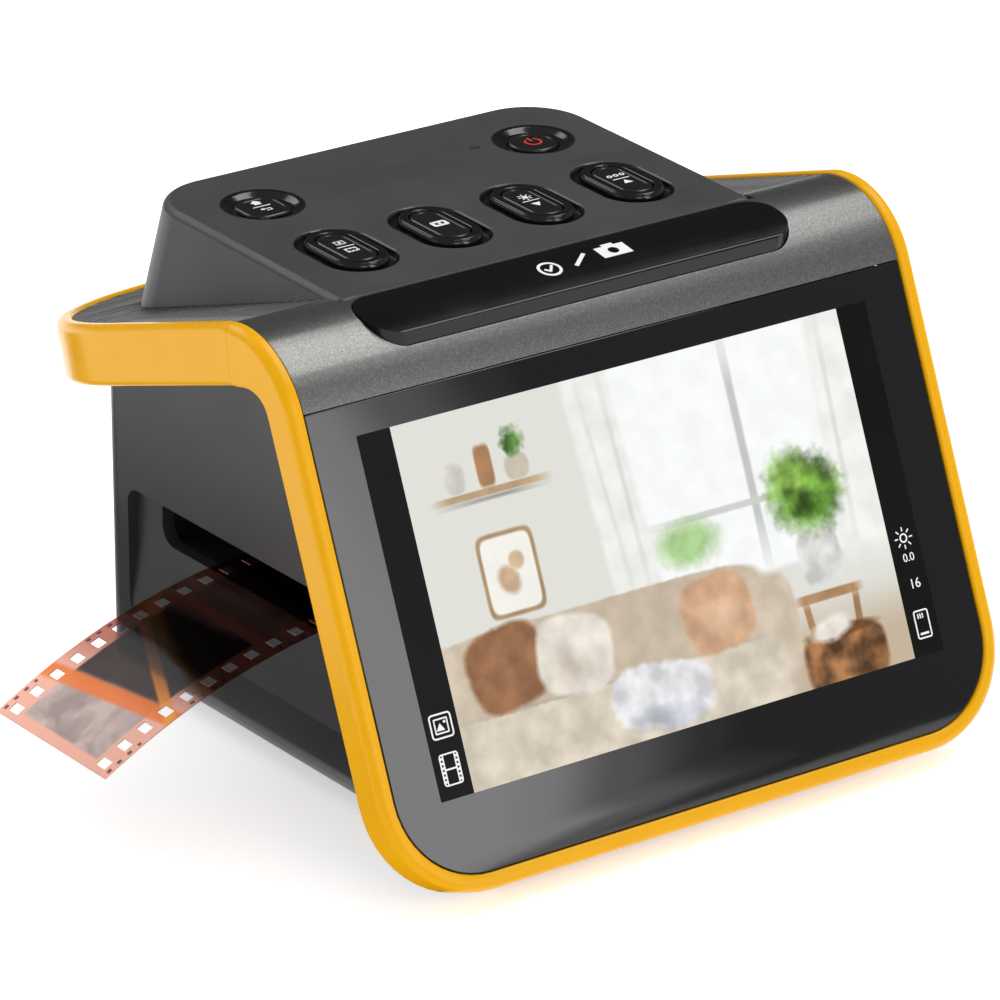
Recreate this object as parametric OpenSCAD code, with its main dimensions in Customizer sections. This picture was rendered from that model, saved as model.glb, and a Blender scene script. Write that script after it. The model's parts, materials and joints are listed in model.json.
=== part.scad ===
// Film negative scanner with a leaning screen, a sloping ribbed arm and a raised key console.
// X runs to the right, Y to the back and Z up. The origin lies on the table, midway between
// the left and right reach of the film and midway between the toe and the rear of the trim.

/* [Side profile] */
// Lean of the screen face back from the vertical, degrees
face_lean = 22.5; // [18:0.25:26]
// Fall of the arm towards the back, degrees
arm_slope = 17.7; // [15:0.1:20]
// Radius of the shoulder between face and arm
shoulder_r = 18; // [16:0.5:19]
// Length of the front glass, measured up the face
glass_len = 83.3; // [81:0.1:86]
// Length of the arm from the shoulder to its rear edge
arm_len = 90.2; // [86:0.1:94]
// Height of the lowest point of the trim above the table
trim_gap = 2.2; // [1.6:0.1:2.8]

/* [Trim] */
// Overall width of the trim
trim_w = 134.6; // [130:0.2:139]
// Width of the rim round the glass
rim_w = 3; // [2.6:0.1:3.6]
// Thickness of the trim on the face
face_trim_t = 7.6; // [7:0.1:8.2]
// Thickness of the trim round the arm
arm_trim_t = 11; // [10:0.1:12]
// Plan radius of the lower corners of the face
face_corner_r = 19; // [17:0.1:22]
// Plan radius of the rear corners of the arm
rear_corner_r = 50; // [44:0.5:56]
// Rounding of the outer edge of the trim
trim_edge_r = 1.6; // [1:0.1:1.8]
// Depth of the shoulder cover and the glass below the trim
skin_drop = 0.5; // [0.3:0.05:0.8]
// Distance of the trim seam from the ribbed plate
seam_back = 3; // [1:0.5:5]

/* [Screen] */
// Thickness of the front glass
glass_t = 1.6; // [1.1:0.1:2]
// Distance from the side of the trim to the display module's picture
lcd_margin = 12.3; // [10.5:0.1:14]
// Height of the display module's picture
lcd_h = 63.8; // [60:0.1:65]
// Frame of the display module outside its picture
lcd_frame = 3; // [2:0.5:3.5]
// Thickness of the display module
lcd_t = 3.2; // [2.5:0.1:3.6]
// Distance from the lower edge of the glass to the middle of the picture
lcd_rise = 45.7; // [45:0.1:46.4]
// Depth of the screen housing behind the trim's outer skin
screen_depth = 9; // [8.8:0.1:10]
// Wall of the screen and arm housings
housing_wall = 1.6; // [1.2:0.1:2]

/* [Ribbed plate] */
// Thickness of the shoulder cover and of the ribbed plate
cover_t = 2; // [1.6:0.1:2.4]
// Distance from one rib to the next
rib_pitch = 2.9; // [2.6:0.1:3.6]
// Height of a rib
rib_h = 0.55; // [0.4:0.05:0.7]

/* [Console] */
// Rise of the console's top towards the back, degrees
console_rise = 1.4; // [0.6:0.1:2]
// Width of the console's top
console_w = 89.6; // [88:0.2:92]
// Distance from the shoulder's crest to the rear edge of the console's top
console_len = 64.4; // [62:0.1:67]
// Draft of the console's sides, degrees
side_draft = 11; // [8:0.5:13]
// Draft of the console's rear, degrees
rear_draft = 5; // [3:0.5:8]
// Plan radius of the console's rear corners
console_corner_r = 12; // [9:0.5:14]
// Wall of the console
console_wall = 2; // [1.6:0.1:2.4]

/* [Keys] */
// Distance between the capsule keys
key_pitch = 20; // [18.5:0.1:20.5]
// Distance of the capsule keys behind the shoulder's crest
key_row = 20.7; // [19.5:0.1:22]
// Width of a capsule key
key_w = 6.5; // [6:0.1:7]
// Length of a capsule key
key_l = 14; // [13:0.1:15]
// Width of the glossy ring round a key
ring_w = 1.6; // [1.2:0.1:1.8]
// Width of the sunk moat outside the ring
moat_w = 1.8; // [1.4:0.1:2]
// Depth of the moat
moat_d = 1.1; // [0.8:0.1:1.3]
// Diameter of the power key and size of the home key
round_key_d = 9.2; // [8.6:0.1:10]
// Diameter of the shallow dish round the power and home keys
dish_w = 14.8; // [14:0.1:16]
// Depth of the dish
dish_d = 1.1; // [0.8:0.1:1.3]
// How far the power and home keys stand inside the outermost oval keys
round_key_in = 0.3; // [-0.5:0.1:2]
// Distance of the power and home keys behind the shoulder's crest
round_key_row = 47.2; // [45.5:0.1:49]
// Travel of each key
key_travel = 0.8; // [0.5:0.1:1]
// Gap between a key and the hole that it moves in
key_gap = 0.2; // [0.15:0.05:0.3]
// Height of the keys and rings over the console
key_proud = 0.7; // [0.4:0.1:1]

/* [Shutter bar] */
// Width of the shutter bar
bar_w = 90.6; // [86:0.2:94]
// Depth of the shutter bar from front to back
bar_d = 12.8; // [11.8:0.1:13.4]
// Distance of the bar's rear edge behind the shoulder's crest
bar_back = 1; // [0.6:0.1:1.4]
// Plan radius of the bar's ends
bar_r = 5.9; // [4:0.1:5.9]
// Height of the bar's front wall over the shoulder
bar_front_h = 2.4; // [1.8:0.1:3]

/* [Body] */
// Width of the body
body_w = 94; // [92:0.2:96]
// Distance from the toe of the trim to the rear wall at its top
body_rear = 125; // [123:0.5:127]
// Draft of the rear wall, degrees
body_draft = 1.8; // [1:0.1:2.5]
// Height of the body's underside above the table
body_lift = 2.4; // [2:0.1:3]
// Wall of the body
body_wall = 2; // [1.6:0.1:2.4]
// Radius of the body's upright rear corners
body_corner_r = 5; // [4:0.5:6]
// Radius of the body's lower edges
body_foot_r = 6; // [5:0.5:6.5]

/* [Film slot] */
// Length of the slot through the sides of the body
slot_l = 76.6; // [75:0.2:79]
// Height of the slot
slot_h = 8.7; // [8.3:0.1:9]
// Height of the slot's lower lip above the table
slot_z = 31.3; // [30:0.1:32]
// Distance from the toe of the trim to the middle of the film
film_y = 69.6; // [68:0.1:71]
// Radius of the slot's lower corners
slot_r = 4; // [3:0.5:4]
// Depth of the thumb recess under the slot
scoop_d = 2.3; // [1.6:0.1:2.6]
// Height of the recess from its lower edge to the slot's top
scoop_h = 24.6; // [22:0.2:26]
// Length of the recess
scoop_l = 89; // [86:0.5:90]

/* [Film tray] */
// Length of the tray inside the body, from its inner end to the right wall
tray_l = 77; // [74:0.5:80]
// Height of the tray with its lid
tray_h = 7.6; // [7:0.1:7.8]
// Gap between the tray and its channel
tray_gap = 0.35; // [0.25:0.05:0.5]
// Length of the grip that stands out of the body
grip_l = 4; // [3:0.5:6]
// Length of the window over one frame
gate_w = 36.4; // [36:0.1:37]
// Height of the window over one frame
gate_h = 24.4; // [24:0.1:25]

/* [Film] */
// Width of the film
film_w = 35; // [34.9:0.05:35.1]
// Thickness of the film
film_t = 0.15; // [0.12:0.01:0.2]
// Distance from one perforation to the next
perf_pitch = 4.75; // [4.7:0.01:4.8]
// Number of perforations in each row
perf_count = 40; // [36:2:42]
// Angle at which the film's free end hangs, degrees
film_curl = 31; // [20:1:34]

/* [Optics] */
// Outer diameter of the lens barrel
lens_d = 16; // [14:0.5:18]
// Height of the lens barrel
lens_h = 15; // [13:0.5:16]
// Height of the light box
light_box_h = 17; // [15:0.5:18]

/* [Base] */
// Diameter of a rubber foot
foot_d = 10; // [8:0.5:12]
// Diameter of the cover screws
screw_d = 2.5; // [2:0.1:3]

/* [Hidden] */

$fn = 64;
eps = 0.01;
far = 200;

// Small clearances
fit_gap = 0.15;
face_gap = 0.05;

// Half width of the trim, roundings of its inner edges and its rear edge, and distances
// along the skin measured from the toe
half_w = trim_w / 2;
lip_r = 0.7;
heel_r = 1.2;
s_arc = rim_w + glass_len;
arc_deg = 90 - face_lean + arm_slope;
arc_len = shoulder_r * arc_deg * PI / 180;
s_arm = s_arc + arc_len;
s_end = s_arm + arm_len;
s_seam = s_arm - seam_back;

// Directions in the side view, as [y, z]
face_up = [sin(face_lean), cos(face_lean)];
face_in = [cos(face_lean), -sin(face_lean)];
arm_back = [cos(arm_slope), -sin(arm_slope)];
arm_in = [-sin(arm_slope), -cos(arm_slope)];

// Points of the side view
toe = [0, trim_gap + heel_r * (1 - face_up[1]) - (face_trim_t - heel_r) * face_in[1]];
arc_mid = toe + s_arc * face_up + shoulder_r * face_in;
arm_start = arc_mid - shoulder_r * arm_in;
arm_end = arm_start + arm_len * arm_back;

// Front and rear reach of the rounded trim, and the middle between them
front_y = trim_edge_r * (face_up[0] + face_in[0] - 1);
rear_y = arm_end[0] - trim_edge_r * (arm_back[0] - arm_in[0] - 1);
mid_y = (front_y + rear_y) / 2;

// Crest line of the shoulder, where the console's top leaves it
crest_r = shoulder_r - skin_drop;
crest = arc_mid + crest_r * [-sin(console_rise), cos(console_rise)];

// Point where two lines cross, each given by a point and a direction
function cross_at(p, v, q, w) =
    let (k = ((q[0] - p[0]) * w[1] - (q[1] - p[1]) * w[0]) / (v[0] * w[1] - v[1] * w[0]))
    p + k * v;

// Points of the side view at a depth under the face or the arm
function face_at_z(d, z) = cross_at(toe + d * face_in, face_up, [0, z], [1, 0]);
function arm_at_y(d, y) = cross_at(arm_start + d * arm_in, arm_back, [y, 0], [0, 1]);
function inner_corner(df, da) =
    cross_at(toe + df * face_in, face_up, arm_start + da * arm_in, arm_back);

// A point of the skin at half width x, distance s along it and depth d under it
function on_skin(x, s, d) =
    let (
        turn = 180 - face_lean - (s - s_arc) / shoulder_r * 180 / PI,
        p = s <= s_arc ? toe + s * face_up + d * face_in
            : s <= s_arm ? arc_mid + (shoulder_r - d) * [cos(turn), sin(turn)]
            : arm_start + (s - s_arm) * arm_back + d * arm_in
    )
    [x, p[0], p[1]];

// ---- Places --------------------------------------------------------------------------

// Moves the part so that its origin is the middle of its footprint
module set_down() {
    translate([0, -mid_y, 0])
        children();
}

// Local x to the right, y up the face and z out of it
module on_face() {
    translate([0, toe[0], toe[1]])
        rotate([90 - face_lean, 0, 0])
            children();
}

// Local x to the right, y back along the arm and z out of it
module on_arm() {
    translate([0, arm_start[0], arm_start[1]])
        rotate([-arm_slope, 0, 0])
            children();
}

// Local x to the right, y back along the console's top and z out of it
module on_console() {
    translate([0, crest[0], crest[1]])
        rotate([console_rise, 0, 0])
            children();
}

// Extrudes a side view drawn as [y, z] over a width
module across(width) {
    translate([-width / 2, 0, 0])
        rotate([90, 0, 90])
            linear_extrude(width)
                children();
}

// ---- Outlines ------------------------------------------------------------------------

// Rectangle with round corners about its middle
module round_rect(w, h, r) {
    square([w - 2 * r, h], center = true);
    square([w, h - 2 * r], center = true);
    for (sx = [-1, 1], sy = [-1, 1])
        translate([sx * (w / 2 - r), sy * (h / 2 - r)])
            circle(r);
}

// Capsule that stands along y
module capsule(w, l) {
    square([w, l - w], center = true);
    for (sy = [-1, 1])
        translate([0, sy * (l - w) / 2])
            circle(w / 2);
}

// Face outline taken in by a rim, up to a distance from the toe, with round lower corners
module face_outline(rim, top) {
    w = trim_w - 2 * rim;
    r = face_corner_r - rim;
    translate([-w / 2, rim + r])
        square([w, top - rim - r]);
    translate([-w / 2 + r, rim])
        square([w - 2 * r, r + eps]);
    for (sx = [-1, 1])
        translate([sx * (w / 2 - r), rim + r])
            circle(r);
}

// Arm outline taken in by a rim, from a start to the rear edge, with round rear corners
module arm_outline(rim, start) {
    w = trim_w - 2 * rim;
    r = rear_corner_r - rim;
    l = arm_len - rim;
    intersection() {
        union() {
            translate([-w / 2, start])
                square([w, l - r - start]);
            translate([-w / 2 + r, l - r - eps])
                square([w - 2 * r, r + eps]);
            for (sx = [-1, 1])
                translate([sx * (w / 2 - r), l - r])
                    circle(r, $fn = 120);
        }
        translate([-w / 2, start])
            square([w, l - start]);
    }
}

// Side view of everything under the skin at a depth
module under_skin(d) {
    foot = toe + d * face_in;
    face_top = arc_mid - (shoulder_r - d) * face_in;
    arm_top = arc_mid - (shoulder_r - d) * arm_in;
    tail = arm_end + d * arm_in;
    polygon([foot, face_top, arc_mid, arm_top, tail, [tail[0], 0], [foot[0], 0]]);
    translate(arc_mid)
        circle(shoulder_r - d, $fn = 180);
}

// ---- Trim sweep ----------------------------------------------------------------------

// Smooth step from 0 to 1
function ease(k) = let (c = min(max(k, 0), 1)) c * c * (3 - 2 * c);

// The trim grows from its face thickness to its arm thickness round the shoulder
thick_from = s_arc + 0.09 * arc_len;
thick_to = s_arc + 0.86 * arc_len;
function trim_t(s) =
    face_trim_t + (arm_trim_t - face_trim_t) * ease((s - thick_from) / (thick_to - thick_from));

// Quarter round of the section, about a middle, as [inset, depth]
corner_steps = 5;
function quarter(mid, r, from) =
    [for (i = [0 : corner_steps]) mid + r * [cos(from + 90 * i / corner_steps),
                                             sin(from + 90 * i / corner_steps)]];

// Section of the trim, once round, as [inset, depth]
function trim_section(t) = concat(
    quarter([trim_edge_r, trim_edge_r], trim_edge_r, 180),
    quarter([rim_w - lip_r, lip_r], lip_r, 270),
    quarter([rim_w - lip_r, t - lip_r], lip_r, 0),
    quarter([heel_r, t - heel_r], heel_r, 90)
);

// Stations of the outline as [x, s, outward x, outward s]
function side(sign, stations) = [for (s = stations) [sign * half_w, s, sign, 0]];
function bend(sign, mid_s, r, from, to, steps) =
    [for (i = [0 : steps]) let (a = from + (to - from) * i / steps)
        [sign * (half_w - r) + r * cos(a), mid_s + r * sin(a), cos(a), sin(a)]];
function spaced(from, to, steps) = [for (i = [0 : steps]) from + (to - from) * i / steps];

shoulder_steps = 20;
bend_steps = 12;
seam_gap = 0.08;
face_path = concat(
    side(-1, spaced(s_seam - seam_gap, s_arc, shoulder_steps)),
    bend(-1, face_corner_r, face_corner_r, 180, 270, bend_steps),
    bend(1, face_corner_r, face_corner_r, 270, 360, bend_steps),
    side(1, spaced(s_arc, s_seam - seam_gap, shoulder_steps))
);
arm_path = concat(
    side(1, concat([s_seam, (s_seam + s_arm) / 2], [s_arm])),
    bend(1, s_end - rear_corner_r, rear_corner_r, 0, 90, bend_steps + 4),
    bend(-1, s_end - rear_corner_r, rear_corner_r, 90, 180, bend_steps + 4),
    side(-1, concat([s_arm], [(s_seam + s_arm) / 2, s_seam]))
);

// Solid swept along a path of stations
module trim_sweep(path) {
    rings = len(path);
    sides = 4 * (corner_steps + 1);
    points = [for (p = path) for (q = trim_section(trim_t(p[1])))
        on_skin(p[0] - q[0] * p[2], p[1] - q[0] * p[3], q[1])];
    walls = [for (i = [0 : rings - 2]) for (j = [0 : sides - 1])
        let (k = (j + 1) % sides, a = i * sides + j, b = i * sides + k)
        each [[a, a + sides, b], [b, a + sides, b + sides]]];
    first = [for (j = [0 : sides - 1]) j];
    last = [for (j = [sides - 1 : -1 : 0]) (rings - 1) * sides + j];
    polyhedron(points, concat([first, last], walls));
}

module front_trim() {
    color("gold")
        set_down()
            trim_sweep(face_path);
}

module arm_trim() {
    color("gold")
        set_down()
            trim_sweep(arm_path);
}

// ---- Screen --------------------------------------------------------------------------

glass_z = -skin_drop - glass_t;
lcd_w = trim_w - 2 * lcd_margin;
lcd_s = rim_w + lcd_rise;
lcd_z = glass_z - fit_gap - lcd_t;
screen_rim = rim_w + fit_gap;

module front_glass() {
    color("black")
        set_down()
            on_face()
                translate([0, 0, glass_z])
                    linear_extrude(glass_t)
                        face_outline(rim_w + fit_gap, s_arc - fit_gap);
}

module lcd_panel() {
    color("silver")
        set_down()
            on_face()
                translate([0, lcd_s, lcd_z + lcd_t / 2])
                    cube([lcd_w + 2 * lcd_frame, lcd_h + 2 * lcd_frame, lcd_t], center = true);
}

// Frame that fills the space between the display module and the housing's walls
module display_carrier() {
    rim = screen_rim + housing_wall + fit_gap;
    top = s_arc - fit_gap - housing_wall - fit_gap;
    color("dimgray")
        set_down()
            on_face()
                translate([0, 0, lcd_z])
                    difference() {
                        linear_extrude(lcd_t)
                            face_outline(rim, top);
                        translate([0, lcd_s, -1])
                            linear_extrude(lcd_t + 2)
                                square([lcd_w + 2 * lcd_frame + 2 * fit_gap,
                                        lcd_h + 2 * lcd_frame + 2 * fit_gap], center = true);
                    }
}

// Openings for the ribbon cable behind the display and in the arm
flex_w = 16;
flex_inset = 25;
flex_x = body_w / 2 - flex_inset;
flex_t = 0.3;
flex_port = [flex_w + 3, 7];

module display_housing() {
    deep = screen_depth + glass_z - face_gap;
    corner = inner_corner(screen_depth, arm_trim_t);
    top_s = (corner - toe) * face_up - fit_gap;
    top = s_arc - fit_gap;
    floor_z = -screen_depth;
    color("dimgray")
        set_down()
            on_face()
                difference() {
                    union() {
                        translate([0, 0, floor_z])
                            linear_extrude(deep)
                                face_outline(screen_rim, top);
                        translate([-half_w + screen_rim, top - eps, floor_z])
                            cube([trim_w - 2 * screen_rim, top_s - top + eps, housing_wall]);
                    }
                    translate([0, 0, floor_z + housing_wall])
                        linear_extrude(deep)
                            face_outline(screen_rim + housing_wall, top - housing_wall);
                    translate([flex_x, lcd_s + 12, floor_z - 1])
                        linear_extrude(housing_wall + 2)
                            square(flex_port, center = true);
                }
}

// ---- Shoulder and ribbed plate -------------------------------------------------------

inner_w = trim_w - 2 * (rim_w + fit_gap);
bar_mid_v = bar_back - bar_d / 2;

// Prism of the shutter bar's plan, grown by a gap
module bar_prism(grow) {
    translate([0, bar_mid_v, -far / 2])
        linear_extrude(far)
            round_rect(bar_w + 2 * grow, bar_d + 2 * grow, bar_r + grow);
}

// Drafted block of the console, grown by a gap, down to well under the arm
block_down = 36;
console_front = bar_back + key_gap + 0.1;
module console_block(grow, wall) {
    spread = block_down * tan(side_draft);
    rear_spread = block_down * tan(rear_draft);
    top_r = console_corner_r - wall + grow;
    top_x = console_w / 2 - wall + grow - top_r;
    top_y = console_len - wall + grow - top_r;
    front_r = 2;
    front_y_in = console_front + wall - grow + front_r;
    on_console()
        hull() {
            for (sx = [-1, 1]) {
                translate([sx * top_x, top_y, -wall - eps])
                    cylinder(r = top_r, h = eps, $fn = 48);
                translate([sx * (top_x + spread), top_y + rear_spread, -block_down])
                    cylinder(r = top_r, h = eps, $fn = 48);
                translate([sx * (top_x + top_r - front_r), front_y_in, -wall - eps])
                    cylinder(r = front_r, h = eps, $fn = 24);
                translate([sx * (top_x + top_r + spread - front_r), front_y_in, -block_down])
                    cylinder(r = front_r, h = eps, $fn = 24);
            }
        }
}

module shoulder_cover() {
    reach = 2 * shoulder_r;
    deep = 8;
    half = console_w / 2 + fit_gap;
    flare = deep * tan(side_draft);
    color("darkslategray")
        set_down()
            difference() {
                across(inner_w)
                    translate(arc_mid)
                        intersection() {
                            difference() {
                                circle(shoulder_r - skin_drop, $fn = 180);
                                circle(shoulder_r - skin_drop - cover_t, $fn = 180);
                            }
                            polygon([
                                [0, 0],
                                -reach * face_in,
                                -reach * (face_in + arm_in),
                                -reach * arm_in - fit_gap * arm_back,
                                -fit_gap * arm_back
                            ]);
                        }
                on_console()
                    bar_prism(key_gap);
                on_console()
                    translate([0, far, 0])
                        rotate([90, 0, 0])
                            linear_extrude(far - console_front + fit_gap)
                                polygon([[-half - flare, -deep], [half + flare, -deep],
                                         [half - flare, deep], [-half + flare, deep]]);
            }
}

rib_count = floor((arm_len - rim_w) / rib_pitch);

// Side view of the ribs in the arm's own frame
module rib_profile() {
    l = arm_len - rim_w;
    r = (rib_pitch * rib_pitch / 4 + rib_h * rib_h) / (2 * rib_h) * 0.94;
    translate([0, -skin_drop - cover_t])
        square([l, cover_t - rib_h]);
    for (i = [0 : rib_count - 1])
        intersection() {
            translate([(i + 0.5) * rib_pitch, -skin_drop - r])
                circle(r, $fn = 90);
            translate([i * rib_pitch + 0.12, -skin_drop - rib_h - eps])
                square([rib_pitch - 0.24, rib_h + 2 * eps]);
        }
}

module ribbed_plate() {
    color("dimgray")
        set_down()
            difference() {
                on_arm()
                    intersection() {
                        translate([-inner_w / 2, 0, 0])
                            rotate([90, 0, 90])
                                linear_extrude(inner_w)
                                    rib_profile();
                        translate([0, 0, -far / 2])
                            linear_extrude(far)
                                arm_outline(rim_w + fit_gap, 0);
                    }
                console_block(fit_gap, 0);
            }
}

module arm_housing() {
    rim = rim_w + fit_gap;
    bottom = -arm_trim_t + 0.2;
    top = -skin_drop - cover_t - face_gap;
    corner = inner_corner(screen_depth, arm_trim_t - 0.2);
    start = (corner - arm_start) * arm_back + fit_gap;
    color("dimgray")
        set_down()
            on_arm()
                difference() {
                    union() {
                        translate([0, 0, bottom])
                            linear_extrude(housing_wall)
                                arm_outline(rim, start);
                        translate([0, 0, bottom])
                            linear_extrude(top - bottom)
                                arm_outline(rim, 0);
                    }
                    translate([0, 0, bottom + housing_wall])
                        linear_extrude(far)
                            arm_outline(rim + housing_wall, -1);
                    translate([key_flex_x, flex_hole_v, bottom - 1])
                        linear_extrude(housing_wall + 2)
                            square([flex_w + 3, 6], center = true);
                }
}

// ---- Console -------------------------------------------------------------------------

key_x = [for (i = [-1.5 : 1 : 1.5]) i * key_pitch];
round_key_x = key_x[3] - round_key_in;
ring_in = key_gap;
hole_w = key_w + 2 * ring_in + 2 * ring_w;
hole_l = key_l + 2 * ring_in + 2 * ring_w;
dish_floor = round_key_d + 1.8;
home_r = 3.2;
lens_place = [18.3, round_key_row + 2.4];
status_d = 1.6;

// One outline for each capsule key's place
module at_capsules() {
    for (x = key_x)
        translate([x, key_row])
            children();
}

module at_power() {
    translate([round_key_x, round_key_row])
        children();
}

module at_home() {
    translate([-round_key_x, round_key_row])
        children();
}

// Posts that the key board hangs from, as [x, back]
console_posts_at = [[-35, 36], [35, 36], [0, 36], [0, 54]];

module console_cover() {
    low = -console_wall;
    color("dimgray")
        set_down()
            difference() {
                union() {
                    difference() {
                        console_block(0, 0);
                        console_block(0, console_wall);
                    }
                    on_console()
                        for (p = console_posts_at)
                            translate([p[0], p[1], -board_drop + face_gap])
                                cylinder(d = 4, h = board_drop - console_wall + 0.5);
                }
                across(far)
                    under_skin(skin_drop + cover_t);
                on_console() {
                    translate([0, 0, -moat_d])
                        linear_extrude(far)
                            at_capsules()
                                capsule(hole_w + 2 * moat_w, hole_l + 2 * moat_w);
                    for (sx = [-1, 1])
                        translate([sx * round_key_x, round_key_row, -dish_d])
                            cylinder(d1 = dish_floor, d2 = dish_w, h = dish_d + eps);
                    translate([0, 0, low - 1])
                        linear_extrude(far) {
                            at_capsules()
                                capsule(hole_w + 2 * face_gap, hole_l + 2 * face_gap);
                            at_power()
                                circle(round_key_d / 2 + key_gap);
                            at_home()
                                round_rect(round_key_d + 2 * key_gap, round_key_d + 2 * key_gap,
                                           home_r + key_gap);
                            translate(lens_place)
                                circle(status_d / 2 + face_gap);
                        }
                }
            }
}

// Glossy rings that line the capsule keys' holes and stand a little proud
module key_rings() {
    color("black")
        set_down()
            on_console()
                translate([0, 0, -console_wall])
                    linear_extrude(console_wall + key_proud)
                        difference() {
                            at_capsules()
                                capsule(hole_w, hole_l);
                            at_capsules()
                                capsule(key_w + 2 * key_gap, key_l + 2 * key_gap);
                        }
}

module status_lens() {
    color("lightgray")
        set_down()
            on_console()
                translate([lens_place[0], lens_place[1], -board_drop + face_gap])
                    cylinder(d = status_d, h = board_drop);
}

// ---- Keys ----------------------------------------------------------------------------

board_t = 1.2;
board_drop = 6;
switch_h = 2.6;
stem_d = 3.4;
switch_top = -board_drop + switch_h;
stem_low = switch_top + key_travel + 0.1;
key_top = key_proud - 0.1;
dish_key_top = 0.35 - dish_d;
cap_low = -1.8;

// A key with its cap up to a height and its stem down to the switch
module key_solid(top) {
    translate([0, 0, cap_low])
        linear_extrude(top - cap_low)
            children();
    translate([0, 0, stem_low])
        cylinder(d = stem_d, h = cap_low - stem_low + eps);
}

module capsule_key(i) {
    color("black")
        set_down()
            on_console()
                translate([key_x[i], key_row, 0])
                    key_solid(key_top)
                        capsule(key_w, key_l);
}

module mode_key() {
    capsule_key(0);
}

module gallery_key() {
    capsule_key(1);
}

module bright_key() {
    capsule_key(2);
}

module colour_key() {
    capsule_key(3);
}

module power_key() {
    color("black")
        set_down()
            on_console()
                translate([round_key_x, round_key_row, 0])
                    key_solid(dish_key_top)
                        circle(round_key_d / 2);
}

module home_key() {
    color("black")
        set_down()
            on_console()
                translate([-round_key_x, round_key_row, 0])
                    key_solid(dish_key_top)
                        round_rect(round_key_d, round_key_d, home_r);
}

// Side view of the shutter bar in the console's frame, as [back, out]
bar_front_v = bar_back - bar_d;
bar_deep = -5.2;
bar_step_v = -3.6;
bar_switch_v = bar_step_v + 3;
bar_steps = 12;
bar_nose_r = 0.6;
function shoulder_out(v) = sqrt(max(crest_r * crest_r - v * v, 0)) - crest_r;
bar_front_top = shoulder_out(bar_front_v) + bar_front_h;
bar_bulge_r = (bar_d * bar_d + bar_front_top * bar_front_top) / (-2 * bar_front_top);
function bulge_out(v) = sqrt(bar_bulge_r * bar_bulge_r - pow(v - bar_back, 2)) - bar_bulge_r;

module bar_side() {
    nose_v = bar_front_v + bar_nose_r;
    nose_out = bulge_out(nose_v) - bar_nose_r;
    polygon(concat(
        [[bar_back, stem_low], [bar_step_v, stem_low]],
        [[bar_step_v, bar_deep], [bar_front_v, bar_deep]],
        [for (a = [180 : -22.5 : 112.5]) [nose_v, nose_out] + bar_nose_r * [cos(a), sin(a)]],
        [for (i = [0 : bar_steps]) let (v = nose_v + (bar_back - nose_v) * i / bar_steps)
            [v, bulge_out(v)]]
    ));
}

module shutter_bar() {
    color("black")
        set_down()
            on_console()
                intersection() {
                    across(bar_w)
                        bar_side();
                    bar_prism(0);
                }
}

// ---- Key board -----------------------------------------------------------------------

board_front = -2.4;
board_rear = round_key_row + 8;
board_w = console_w - 2 * console_wall - 9;

module key_board() {
    color("darkgreen")
        set_down()
            on_console()
                translate([-board_w / 2, board_front, -board_drop - board_t])
                    cube([board_w, board_rear - board_front, board_t]);
}

// Places of the seven switches
switch_places = concat(
    [for (x = key_x) [x, key_row]],
    [[round_key_x, round_key_row], [-round_key_x, round_key_row], [0, bar_switch_v]]
);

module tact_switches() {
    body = 5.2;
    body_h = 1.6;
    color("silver")
        set_down()
            on_console()
                for (p = switch_places)
                    translate([p[0], p[1], -board_drop]) {
                        translate([-body / 2, -body / 2, 0])
                            cube([body, body, body_h]);
                        translate([0, 0, body_h - eps])
                            cylinder(d = 3, h = switch_h - body_h + eps);
                    }
}

// ---- Body ----------------------------------------------------------------------------

body_front_d = screen_depth + face_gap;
body_top_d = arm_trim_t - 0.2 + face_gap;
body_bottom = body_lift;
main_board_t = 1.6;
post_h = 4;
board_z = body_bottom + body_wall + post_h + face_gap;
rear_top = arm_at_y(body_top_d, body_rear)[1];
rear_low = body_rear - (rear_top - body_bottom) * tan(body_draft);

// Side view of the body, or of its hollow, which is taken in by a wall at the rear, starts
// at the floor and runs out through the front and the top
module body_side(wall, floor_z, foot_r) {
    front_low = face_at_z(body_front_d - wall, floor_z);
    corner = inner_corner(body_front_d - wall, body_top_d - wall);
    back_top = arm_at_y(body_top_d - wall, body_rear - wall);
    back_low = [back_top[0] - (back_top[1] - floor_z) * tan(body_draft), floor_z];
    difference() {
        polygon([front_low, corner, back_top, back_low]);
        translate([back_low[0] - foot_r, floor_z - eps])
            difference() {
                square([foot_r + 2, foot_r + eps]);
                translate([0, foot_r + eps])
                    circle(foot_r);
            }
    }
}

// Front view of the body, as [x, z]
module body_front(wall, floor_z, foot_r) {
    w = body_w - 2 * wall;
    translate([-w / 2, floor_z + foot_r])
        square([w, far]);
    translate([-w / 2 + foot_r, floor_z])
        square([w - 2 * foot_r, foot_r + eps]);
    for (sx = [-1, 1])
        translate([sx * (w / 2 - foot_r), floor_z + foot_r])
            circle(foot_r);
}

// The plan starts this far ahead of the toe
plan_run = 20;

// Plan of the body with round rear corners
module body_plan(wall) {
    w = body_w - 2 * wall;
    r = body_corner_r - wall + 1;
    l = body_rear - wall;
    translate([-w / 2, -plan_run])
        square([w, l - r + plan_run]);
    translate([-w / 2 + r, l - r - eps])
        square([w - 2 * r, r + eps]);
    for (sx = [-1, 1])
        translate([sx * (w / 2 - r), l - r])
            circle(r);
}

module body_block(wall, floor_z, foot_r) {
    intersection() {
        across(far)
            body_side(wall, floor_z, foot_r);
        translate([0, far, 0])
            rotate([90, 0, 0])
                linear_extrude(2 * far)
                    body_front(wall, floor_z, foot_r);
        linear_extrude(far)
            body_plan(wall);
    }
}

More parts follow.
